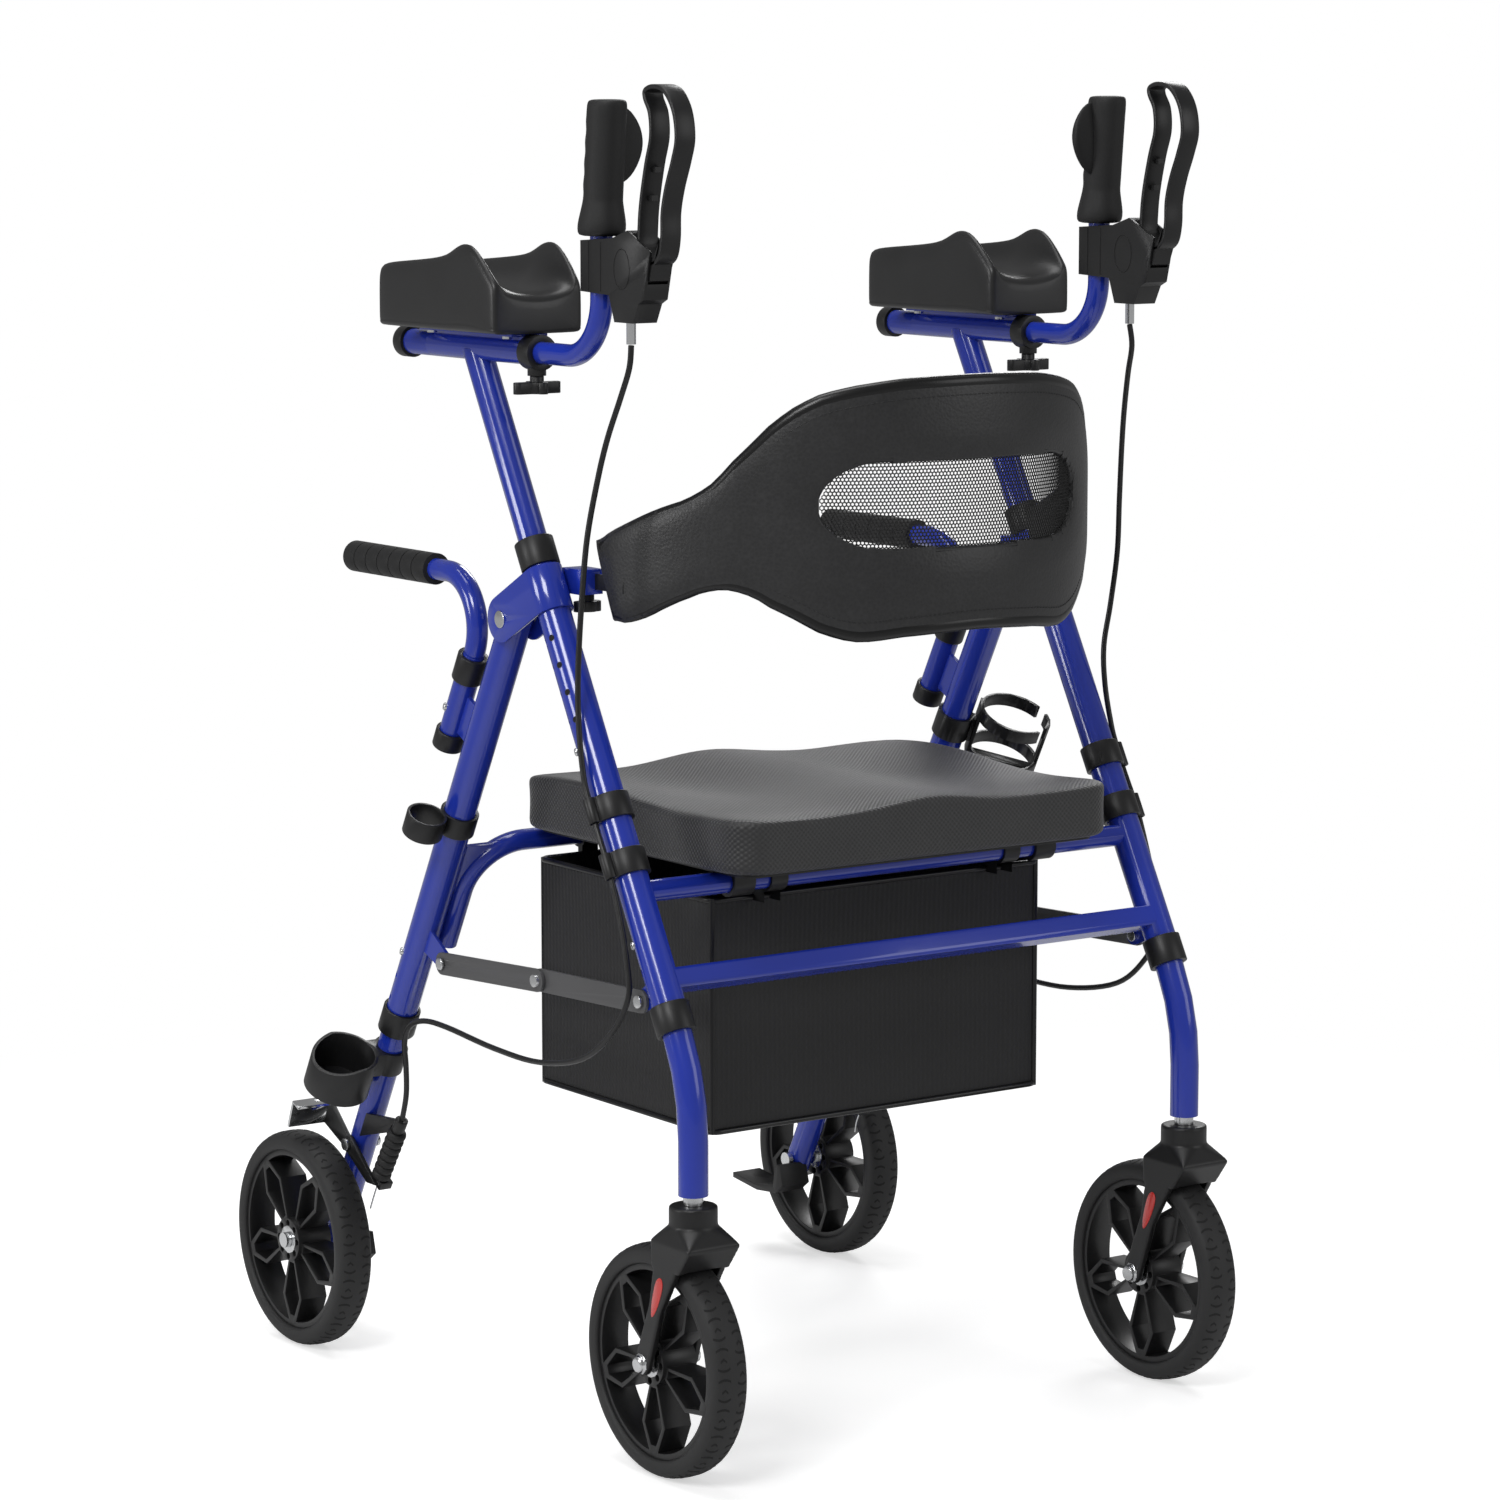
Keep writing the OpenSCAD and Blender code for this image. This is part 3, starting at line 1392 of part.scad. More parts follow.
module rear_stays() {
  x = leg_x + tab_t / 2 + gap + stay_t + gap;
  both() {
    color(grey) stay_link(stay_b, stay_m, x);
    color(steel) translate([0, stay_m[0], stay_m[1]]) {
      rod_x(bolt_d, x, x + stay_t);
      rod_x(bolt_head_d, x + stay_t, x + stay_t + bolt_head_h);
    }
  }
}

// Seat

cushion_y = cushion_front_y + cushion_d / 2;

// Height of the cushion's top above its underside, at shares u across and v along it
function cushion_top(u, v) =
  let (ridge = exp(-pow(u / ridge_share, 2)) * (1 - ridge_dip - ridge_dip * cos(180 * v)),
    sides = pow(abs(u), side_power) * (1 + cos(side_wave * (v - side_peak_share))) / 2,
    wells = exp(-pow((abs(u) - well_u_share) / well_w_share, 2) - pow((v - well_v_share) / well_l_share, 2)))
  cushion_h + cushion_ridge * (ridge + sides - well_share * wells);
ridge_share = 0.32;
ridge_dip = 0.3;
side_power = 4;
side_wave = 200;
side_peak_share = 0.48;
well_share = 0.55;
well_u_share = 0.48;
well_v_share = 0.2;
well_w_share = 0.25;
well_l_share = 0.5;

// A ring of the cushion: its share of the full outline, and its height as a share of the height there
cushion_rings = [
  [0.965, 0.00], [1.000, 0.09], [0.990, 0.45], [1.000, 0.82], [0.985, 0.93], [0.950, 1.00],
  [0.800, 1.00], [0.640, 1.00], [0.480, 1.00], [0.320, 1.00], [0.160, 1.00],
];
cushion_corner_r = 32;
corner_steps = 5;
edge_steps = 10;

// The cushion's outline as seen from above, with round corners
function corner_pt(q, a) =
  [(q % 3 == 0 ? 1 : -1) * (cushion_w / 2 - cushion_corner_r) + cushion_corner_r * cos(a),
  (q < 2 ? 1 : -1) * (cushion_d / 2 - cushion_corner_r) + cushion_corner_r * sin(a)];
cushion_edge = [for (q = [0:3]) each concat(
  [for (k = [0:corner_steps]) corner_pt(q, 90 * (q + k / corner_steps))],
  [for (k = [1:edge_steps - 1])
    let (a = corner_pt(q, 90 * (q + 1)), b = corner_pt((q + 1) % 4, 90 * (q + 1)))
    a + (b - a) * k / edge_steps])];

function cushion_pt(k, e, h) =
  [k * e[0], cushion_y + k * e[1],
  cushion_low_z + h * cushion_top(2 * k * e[0] / cushion_w, 2 * k * e[1] / cushion_d)];

module seat_cushion() {
  n = len(cushion_edge);
  m = len(cushion_rings);
  points = concat(
    [for (r = cushion_rings) for (e = cushion_edge) cushion_pt(r[0], e, r[1])],
    [[0, cushion_y, cushion_low_z], cushion_pt(0, [0, 0], 1)]);
  sides = [for (i = [0:m - 2]) for (j = [0:n - 1]) each [
    [i * n + j, (i + 1) * n + j, i * n + (j + 1) % n],
    [(i + 1) * n + j, (i + 1) * n + (j + 1) % n, i * n + (j + 1) % n]]];
  low = [for (j = [0:n - 1]) [m * n, j, (j + 1) % n]];
  high = [for (j = [0:n - 1]) [m * n + 1, (m - 1) * n + (j + 1) % n, (m - 1) * n + j]];
  color(dark) polyhedron(points, concat(low, sides, high), convexity = 6);
}

// Board under the cushion, hooked over the seat tube by two clips
module seat_board() {
  color(black) difference() {
    union() {
      translate([0, cushion_y, cushion_low_z - board_t]) linear_extrude(board_t)
        round_rect(cushion_w - 2 * board_inset, cushion_d - 2 * board_inset, board_inset);
      for (i = [-1, 1]) translate([i * clip_x, seat_tube[0], seat_tube[1]]) {
        rod_x(cross_od + 2 * seat_clip_t, -seat_clip_w / 2, seat_clip_w / 2);
        translate([-seat_clip_w / 2, -cross_od / 2 - seat_clip_t, 0])
          cube([seat_clip_w, cross_od + 2 * seat_clip_t, cushion_low_z - seat_tube[1]]);
      }
    }
    translate([0, seat_tube[0], seat_tube[1]]) {
      rod_x(cross_od + 2 * run_fit, -leg_x, leg_x);
      for (i = [-1, 1]) rod_x(loop_od + 2 * gap, i * basket_clip_x - loop_room / 2,
        i * basket_clip_x + loop_room / 2);
    }
  }
}

module basket() {
  d = basket_rear_y - basket_front_y;
  h = basket_high_z - basket_low_z;
  arch = rear_pt(arch_s, -arch_front);
  color(black) {
    difference() {
      union() {
        translate([0, basket_front_y + d / 2, basket_low_z]) linear_extrude(h)
          round_rect(basket_w, d, basket_round);
        for (i = [-1, 1]) {
          basket_loop(i * basket_clip_x, seat_tube, basket_front_y + basket_t);
          basket_loop(i * basket_clip_x, arch, basket_rear_y - basket_t);
        }
      }
      translate([0, basket_front_y + d / 2, basket_low_z + basket_t]) linear_extrude(h)
        round_rect(basket_w - 2 * basket_t, d - 2 * basket_t, basket_round - basket_t);
      for (t = [seat_tube, arch]) translate([0, t[0], t[1]])
        rod_x(cross_od + 2 * gap, -leg_x, leg_x);
    }
  }
}

// Loop that hangs the basket from a tube
module basket_loop(x, t, wall_y) {
  w = basket_clip_w;
  drop = t[1] - basket_high_z + basket_rim;
  translate([x, t[0], t[1]]) {
    rod_x(loop_od, -w / 2, w / 2);
    translate([-w / 2, min(0, wall_y - t[0]), -drop]) cube([w, abs(wall_y - t[0]), drop - cross_od / 2]);
  }
}

// Back band. Each station gives its angle from the middle as a share of a quarter turn, and the heights of
// its upper and lower edge from the middle height as shares of half the band's height.
back_shares = [
  [0.00, 1.00, -1.00], [0.19, 0.98, -1.03], [0.30, 0.93, -1.06], [0.38, 0.865, -0.99], [0.44, 0.76, -0.88],
  [0.49, 0.63, -0.80], [0.53, 0.49, -0.72], [0.58, 0.33, -0.67], [0.62, 0.18, -0.66], [0.67, 0.07, -0.69],
  [0.71, 0.005, -0.74], [0.78, -0.075, -0.83], [0.84, -0.16, -0.915], [0.91, -0.26, -0.97],
  [0.97, -0.35, -0.98],
];
back_end_lean = 7;
back_end_power = 6;
// Thickness of the band as a share, from its lower to its upper edge
back_face_shares = [[-1, 0.45], [-0.97, 0.62], [-0.55, 0.86], [0, 1], [0.55, 0.86], [0.97, 0.62], [1, 0.45]];
back_steps = 15;

function back_ring(g) =
  let (f = abs(g), top = back_z + back_h / 2 * read(back_shares, 1, f),
    low = back_z + back_h / 2 * read(back_shares, 2, f),
    mid = (top + low) / 2, half = (top - low) / 2, lean = back_end_lean * pow(f, back_end_power) * sign(g),
    r = back_r - back_t / 2, t = back_t / 2,
    face = [for (q = back_face_shares) [r + t * q[1], q[0]]],
    rear = [for (i = [len(face) - 1:-1:0]) [2 * r - face[i][0], face[i][1]]])
  [for (q = concat(face, rear))
    let (a = 90 * g + lean * (q[1] - 1) / 2)
    [q[0] * sin(a), back_y - q[0] * cos(a), mid + q[1] * half]];

module backrest_pad() {
  span = back_shares[len(back_shares) - 1][0];
  rings = [for (k = [-back_steps:back_steps]) back_ring(span * k / back_steps)];
  color(black) {
    difference() {
      skin(rings);
      translate([0, 0, back_z]) rotate([90, 0, 0]) linear_extrude(2 * back_r) stadium(window_w, window_h);
      both() translate([bar_x, bar_front_y, bar_z]) back_bar_shape(bar_rear_y - bar_front_y, 0);
    }
    back_mesh();
  }
}

// Net across the window, in flat panels that follow the band's curve
mesh_panels = 10;
mesh_cols = 3;
mesh_rows = 7;
mesh_t = 2;
mesh_bar = 2;
mesh_tuck = 2.5;

module back_mesh() {
  r = back_r - back_t / 2;
  turn = 2 * asin((window_w / 2 + mesh_tuck) / r) / mesh_panels;
  w = 2 * (r + mesh_t) * tan(turn / 2) + mesh_bar / 2;
  h = window_h + 2 * mesh_tuck;
  cw = (w - mesh_bar) / mesh_cols;
  ch = (h - mesh_bar) / mesh_rows;
  translate([0, back_y, back_z]) intersection() {
    for (k = [0:mesh_panels - 1]) rotate([0, 0, (k - (mesh_panels - 1) / 2) * turn])
      translate([0, -r, 0]) rotate([90, 0, 0]) linear_extrude(mesh_t) difference() {
        square([w, h], center = true);
        for (i = [0:mesh_cols - 1]) for (j = [0:mesh_rows - 1])
          translate([-w / 2 + mesh_bar + i * cw, -h / 2 + mesh_bar + j * ch])
            square([cw - mesh_bar, ch - mesh_bar]);
      }
    rotate([90, 0, 0]) linear_extrude(2 * back_r) stadium(window_w + 2 * mesh_tuck, h);
  }
}

module backrest_bars() {
  color(black) both() translate([bar_x, bar_front_y, bar_z]) back_bar_shape(bar_rear_y - bar_front_y, 0);
}

// Extras

// Clip round the rear leg that holds a walking stick
module cane_ring() {
  out = leg_r + cup_clip_t + cane_bore / 2 + ring_t;
  color(black) on_side(RIGHT) on_rear(cane_ring_s - ring_h / 2) difference() {
    union() {
      cylinder(d = leg_od + 2 * cup_clip_t, h = ring_h);
      translate([out - ring_t / 2, 0, 0]) cylinder(d = cane_bore + 2 * ring_t, h = ring_h);
    }
    translate([0, 0, -over]) cylinder(d = leg_od, h = ring_h + 2 * over);
    translate([out - ring_t / 2, 0, -over]) cylinder(d = cane_bore, h = ring_h + 2 * over);
  }
}

cup_reach = inner_od / 2 + cup_clip_t + cup_gap + cup_od;

// Cup for the foot of a walking stick, clipped to the rear foot
module cane_cup() {
  x = cup_reach - cup_od / 2;
  color(black) on_side(RIGHT) on_rear(cane_cup_s - cup_h / 2) difference() {
    union() {
      translate([x, 0, 0]) cylinder(d = cup_od, h = cup_h);
      translate([0, 0, cup_h - cup_clip_h]) {
        cylinder(d = inner_od + 2 * cup_clip_t, h = cup_clip_h);
        translate([0, -cup_clip_h / 2, 0]) cube([x - cup_od / 2 + cup_t, cup_clip_h, cup_clip_h]);
      }
    }
    translate([x, 0, cup_t]) cylinder(d = cup_od - 2 * cup_t, h = cup_h);
    translate([x - cup_slot_w / 2, -cup_slot_w / 2, -over]) cube([cup_slot_w, cup_slot_w, cup_h]);
    translate([0, 0, -over]) cylinder(d = inner_od, h = cup_h + 2 * over);
    translate([x, 0, cup_h]) rotate([0, cup_cut, 0]) translate([-cup_od, -cup_od, 0]) cube(2 * cup_od);
  }
}

// Open cage for a drinking bottle, on the outer side of the rear leg and turned towards the front
module bottle_cage() {
  lean = cos(cage_turn);
  od = 2 * (cup_reach - (leg_r + cage_gap) * lean) / (1 + lean);
  in_x = leg_r + cage_gap;
  x = in_x + od / 2;
  color(black) on_side(LEFT) on_rear(cage_s - cage_h / 2) rotate([0, 0, -cage_turn]) difference() {
    union() {
      for (z = [0, cage_h - cage_band_h]) translate([x, 0, z]) pipe(od, od - 2 * cage_t, cage_band_h);
      translate([in_x, -cage_plate_w / 2, 0]) cube([cage_t, cage_plate_w, cage_h]);
      translate([x - od / 2 + cage_t / 2, -cage_band_h / 2, 0]) cube([od - cage_t, cage_band_h, cage_t]);
      translate([x + od / 2 - cage_t, -cage_band_h / 2, 0]) cube([cage_t, cage_band_h, cage_h]);
      translate([0, 0, cage_h / 2 - cage_plate_w / 2]) cylinder(d = leg_od + 2 * cage_t, h = cage_plate_w);
      translate([0, -cage_plate_w / 4, cage_h / 2 - cage_plate_w / 2])
        cube([in_x + cage_t, cage_plate_w / 2, cage_plate_w]);
    }
    translate([0, 0, -over]) cylinder(d = leg_od, h = cage_h + 2 * over);
    for (m = [0, 1]) mirror([0, m, 0]) translate([x, 0, cage_h - cage_band_h - over])
      rotate([0, 0, cage_mouth]) translate([0, -cage_band_h / 2, 0]) cube([od, cage_band_h, cage_h]);
  }
}

// Snap buttons

module post_button(side) {
  color(steel) on_side(side) on_front(post_button_s) button(leg_od, leg_wall);
}

module foot_button(side) {
  color(steel) on_side(side) on_front(foot_button_s) button(leg_od, leg_wall);
}

module rear_button(side) {
  color(steel) on_side(side) on_rear(rear_button_s) button(leg_od, leg_wall);
}

module push_button(side) {
  color(steel) on_side(side) on_rear(push_button_s) translate([0, push_off, 0])
    button(socket_od, socket_wall);
}

// The pieces

front_legs();
hinge_brackets();
front_frame_fittings();
brake_cables();
front_lower_leg(RIGHT);  // front_lower_leg_right
front_lower_leg(LEFT);  // front_lower_leg_left
caster_fork(RIGHT);  // caster_fork_right
caster_fork(LEFT);  // caster_fork_left
wheel_at(RIGHT, leg_x, front_axle_y) rim_solid();  // front_rim_right
wheel_at(LEFT, leg_x, front_axle_y) rim_solid();  // front_rim_left
wheel_at(RIGHT, leg_x, front_axle_y) tyre_solid();  // front_tyre_right
wheel_at(LEFT, leg_x, front_axle_y) tyre_solid();  // front_tyre_left
rear_frame();
rear_frame_fittings();
cane_ring();
bottle_cage();
rear_lower_leg(RIGHT);  // rear_lower_leg_right
rear_lower_leg(LEFT);  // rear_lower_leg_left
brake_mount(RIGHT);  // brake_mount_right
brake_mount(LEFT);  // brake_mount_left
brake_boot(RIGHT);  // brake_boot_right
brake_boot(LEFT);  // brake_boot_left
cane_cup();
wheel_at(RIGHT, rear_wheel_x, rear_axle_y) rim_solid();  // rear_rim_right
wheel_at(LEFT, rear_wheel_x, rear_axle_y) rim_solid();  // rear_rim_left
wheel_at(RIGHT, rear_wheel_x, rear_axle_y) tyre_solid();  // rear_tyre_right
wheel_at(LEFT, rear_wheel_x, rear_axle_y) tyre_solid();  // rear_tyre_left
brake_arm(RIGHT);  // brake_arm_right
brake_arm(LEFT);  // brake_arm_left
arm_post(RIGHT);  // arm_post_right
arm_post(LEFT);  // arm_post_left
forearm_pad(RIGHT);  // forearm_pad_right
forearm_pad(LEFT);  // forearm_pad_left
handle_tube(RIGHT);  // handle_tube_right
handle_tube(LEFT);  // handle_tube_left
hand_grip(RIGHT);  // hand_grip_right
hand_grip(LEFT);  // hand_grip_left
brake_housing(RIGHT);  // brake_housing_right
brake_housing(LEFT);  // brake_housing_left
brake_lever(RIGHT);  // brake_lever_right
brake_lever(LEFT);  // brake_lever_left
clamp_knob(RIGHT);  // clamp_knob_right
clamp_knob(LEFT);  // clamp_knob_left
push_handle(RIGHT);  // push_handle_right
push_handle(LEFT);  // push_handle_left
front_stays();
rear_stays();
seat_cushion();
seat_board();
basket();
backrest_pad();
backrest_bars();
post_button(RIGHT);  // post_button_right
post_button(LEFT);  // post_button_left
foot_button(RIGHT);  // foot_button_right
foot_button(LEFT);  // foot_button_left
rear_button(RIGHT);  // rear_button_right
rear_button(LEFT);  // rear_button_left
push_button(RIGHT);  // push_button_right
push_button(LEFT);  // push_button_left
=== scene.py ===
import json
import math
from functools import cache

import bmesh
import bpy
from bpy.props import FloatProperty, FloatVectorProperty, IntProperty, PointerProperty
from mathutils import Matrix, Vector


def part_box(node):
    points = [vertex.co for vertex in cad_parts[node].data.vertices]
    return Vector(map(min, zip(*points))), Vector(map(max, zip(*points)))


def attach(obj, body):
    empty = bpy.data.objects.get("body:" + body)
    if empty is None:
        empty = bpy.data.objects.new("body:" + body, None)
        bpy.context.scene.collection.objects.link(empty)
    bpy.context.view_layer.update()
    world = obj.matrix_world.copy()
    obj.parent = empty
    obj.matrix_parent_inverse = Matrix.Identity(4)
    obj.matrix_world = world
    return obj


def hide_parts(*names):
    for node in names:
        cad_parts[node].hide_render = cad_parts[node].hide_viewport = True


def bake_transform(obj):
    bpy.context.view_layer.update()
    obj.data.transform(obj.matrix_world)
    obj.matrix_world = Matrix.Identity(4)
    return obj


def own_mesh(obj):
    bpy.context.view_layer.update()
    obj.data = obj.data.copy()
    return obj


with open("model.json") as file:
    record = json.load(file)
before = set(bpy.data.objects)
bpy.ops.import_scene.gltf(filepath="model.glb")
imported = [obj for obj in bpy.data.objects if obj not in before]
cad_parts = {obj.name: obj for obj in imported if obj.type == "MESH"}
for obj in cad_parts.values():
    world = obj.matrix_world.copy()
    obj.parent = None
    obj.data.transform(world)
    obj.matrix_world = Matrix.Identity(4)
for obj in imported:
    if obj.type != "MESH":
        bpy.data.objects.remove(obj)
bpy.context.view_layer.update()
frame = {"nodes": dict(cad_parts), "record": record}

bl_info = {
    "name": "Upright walker",
    "version": (1, 0, 0),
    "blender": (4, 5, 0),
    "location": "3D View > Sidebar > Walker",
    "description": "Dresses a folding walker with forearm supports, seat, back band and basket",
    "category": "Object",
}

SIDES = {"right": -1.0, "left": 1.0}
CORNERS = ((1, 1), (-1, 1), (-1, -1), (1, -1))

# Places of the frame, in metres; pairs are y and z
LEG_X = 0.266
LEG_R = 0.0143
FRONT_TILT = math.radians(28.8)
HINGE = (-0.047, 0.706)
STAY_FRONT = (-0.2414, 0.4017)
STAY_REAR = (0.0691, 0.3862)
STAY_MIDDLE = (-0.08615, 0.39545)
FRONT_AXLE = (0.266, -0.273, 0.1)
REAR_AXLE = (0.301, 0.273, 0.1)
CASTER_Y = -0.313
FOREARM_Z = 0.936
LEVER_PIVOT = (-0.261, 1.009)
GRIP_Y = -0.181
BRAKE_PIVOT = (0.2229, 0.1949)
BRAKE_X = 0.275


def colour(label, about, value):
    return FloatVectorProperty(name=label, description=about, subtype="COLOR", size=3, default=value, min=0, max=1)


def length(label, about, value, low, high):
    return FloatProperty(name=label, description=about, unit="LENGTH", default=value, min=low, max=high)


class WalkerFinish(bpy.types.PropertyGroup):
    """Colours of the walker's finishes"""
    paint: colour("Frame paint", "Glossy paint of the tubes", (0.013, 0.036, 0.40))
    plastic: colour("Plastic", "Moulded collars, forks, rims and knobs", (0.0085, 0.0085, 0.009))
    tyre: colour("Tyre", "Soft tyre compound", (0.017, 0.017, 0.0175))
    skin: colour("Pad skin", "Moulded skin of the forearm pads", (0.017, 0.017, 0.0175))
    seat: colour("Seat cover", "Woven cover of the cushion", (0.028, 0.028, 0.029))
    cloth: colour("Basket cloth", "Ribbed cloth of the basket", (0.0125, 0.0125, 0.013))
    reflector: colour("Reflector", "Red reflectors on the forks", (0.55, 0.02, 0.015))


class WalkerSizes(bpy.types.PropertyGroup):
    """Sizes of the details that only the looks have"""
    edge: length("Moulded edge", "Rounding of plastic edges", 0.0008, 0.0001, 0.003)
    tread_count: IntProperty(name="Tread repeats", description="Tread units round a tyre", default=24, min=8, max=48)
    net_pitch: length("Net pitch", "Width of a cell of the net", 0.0034, 0.002, 0.01)
    stitch: length("Stitch pitch", "Distance between stitches", 0.0045, 0.002, 0.01)
    piping: length("Piping radius", "Radius of the bound edges", 0.0046, 0.001, 0.008)


# Nodes

class Number:
    """A node's number, so that formulas made of nodes read as arithmetic"""

    def __init__(self, tree, source):
        self.tree, self.source = tree, source

    def op(self, operation, *others):
        return calc(self.tree, operation, self, *others)

    def __add__(self, other):
        return self.op("ADD", other)

    def __sub__(self, other):
        return self.op("SUBTRACT", other)

    def __mul__(self, other):
        return self.op("MULTIPLY", other)

    def __truediv__(self, other):
        return self.op("DIVIDE", other)

    def __rtruediv__(self, other):
        return calc(self.tree, "DIVIDE", other, self)


def calc(tree, operation, *values):
    return Number(tree, node(tree, "ShaderNodeMath", *values, setup={"operation": operation}))


def feed(tree, n, *places, **inputs):
    """Links or sets a node's inputs, by place or by name"""
    for key, value in (*enumerate(places), *inputs.items()):
        at = n.inputs[key.replace("_", " ") if isinstance(key, str) else key]
        if isinstance(value, Number):
            value = value.source
        if isinstance(value, bpy.types.Node):
            value = value.outputs[0]
        if isinstance(value, bpy.types.NodeSocket):
            tree.links.new(value, at)
        else:
            at.default_value = value
    return n


def node(tree, kind, *places, setup=None, **inputs):
    """Adds a node with its settings and its inputs"""
    n = tree.nodes.new(kind)
    for name, value in (setup or {}).items():
        setattr(n, name, value)
    return feed(tree, n, *places, **inputs)


def place(tree):
    return tree.nodes.new("ShaderNodeTexCoord").outputs["Object"]


def noise(tree, scale, detail):
    n = node(tree, "ShaderNodeTexNoise", Vector=place(tree), Scale=scale, Detail=detail)
    return Number(tree, n.outputs["Fac"])


def parts_of(tree, vector):
    return [Number(tree, s) for s in node(tree, "ShaderNodeSeparateXYZ", vector).outputs]


# Shader groups and finishes

def shader_group(name, outputs, **inputs):
    g = bpy.data.node_groups.new(name, "ShaderNodeTree")
    for label, value in inputs.items():
        s = g.interface.new_socket(name=label.replace("_", " "), in_out="INPUT", socket_type="NodeSocketFloat")
        s.default_value = value
    for label in outputs:
        g.interface.new_socket(name=label, in_out="OUTPUT", socket_type="NodeSocketFloat")
    given = g.nodes.new("NodeGroupInput").outputs
    return g, [Number(g, given[k]) for k in range(len(inputs))], g.nodes.new("NodeGroupOutput")


def make_groups():
    """Patterns that finishes share; each gives its relief first and its tone second. The woven and pebbled tones paint
    shade into their hollows.
    """
    # Slow change of tone and fine grain, as on moulded plastic and paint
    grain, (fine, slow), out = shader_group("Moulded grain", ["Grain", "Tone"], Grain_scale=900.0, Tone_scale=14.0)
    feed(grain, out, noise(grain, fine, 3.0), noise(grain, slow, 2.0))
    # Crossed threads, seen from above, from the front or from the side
    weave, (pitch, rib), out = shader_group("Woven threads with painted shade", ["Height", "Tone"], Pitch=0.0024, Rib=0.0)
    turn = 2 * math.pi / pitch
    x, y, z = ((axis * turn).op("SINE") for axis in parts_of(weave, place(weave)))
    normal = weave.nodes.new("ShaderNodeNewGeometry").outputs["Normal"]
    nx, ny, nz = (axis * axis for axis in parts_of(weave, normal))
    crossed = x * y * nz + x * z * ny + y * z * nx
    ribs = x * (ny + nz) + y * nx
    height = (crossed + (ribs - crossed) * rib) * 0.5 + 0.5
    # Tone: painted shade in the hollows and painted highlight on the raised threads, taken from the threads' height,
    # mixed with random tone
    feed(weave, out, height, height * 0.6 + noise(weave, 22.0, 3.0) * 0.4)
    # Small pebbles, as on embossed sheet
    pebble, (cells,), out = shader_group("Pebbled skin with painted shade", ["Height", "Tone"], Cell_scale=950.0)
    cell = node(pebble, "ShaderNodeTexVoronoi", Vector=place(pebble), Scale=cells)
    dents = Number(pebble, cell.outputs["Distance"])
    # Tone: painted shade, darker in the dents and lighter on the ridges, mixed with random tone
    feed(pebble, out, dents, dents * 0.5 + noise(pebble, 30.0, 3.0) * 0.5)
    return grain, weave, pebble


def finish(name, tint, rough, group, values=(), bump=0.1, depth=0.0002, tone=0.12, rough_change=0.08, **sockets):
    """A material whose tone, roughness and relief come from a shared group"""
    m = bpy.data.materials.new(name)
    m.use_nodes = True
    t = m.node_tree
    relief, shade = node(t, "ShaderNodeGroup", *values, setup={"node_tree": group}).outputs
    mix = node(t, "ShaderNodeMix", shade, setup={"data_type": "RGBA"})
    for s, share in zip([s for s in mix.inputs if s.type == "RGBA"], (1 - tone, 1 + tone)):
        s.default_value = (*[min(1, c * share) for c in tint], 1)
    feed(t, t.nodes["Principled BSDF"], Base_Color=[s for s in mix.outputs if s.type == "RGBA"][0],
         Roughness=node(t, "ShaderNodeMapRange", Value=shade, To_Min=rough - rough_change, To_Max=rough + rough_change),
         Normal=node(t, "ShaderNodeBump", Strength=bump, Distance=depth, Height=relief), **sockets)
    return m


FINISH = {}


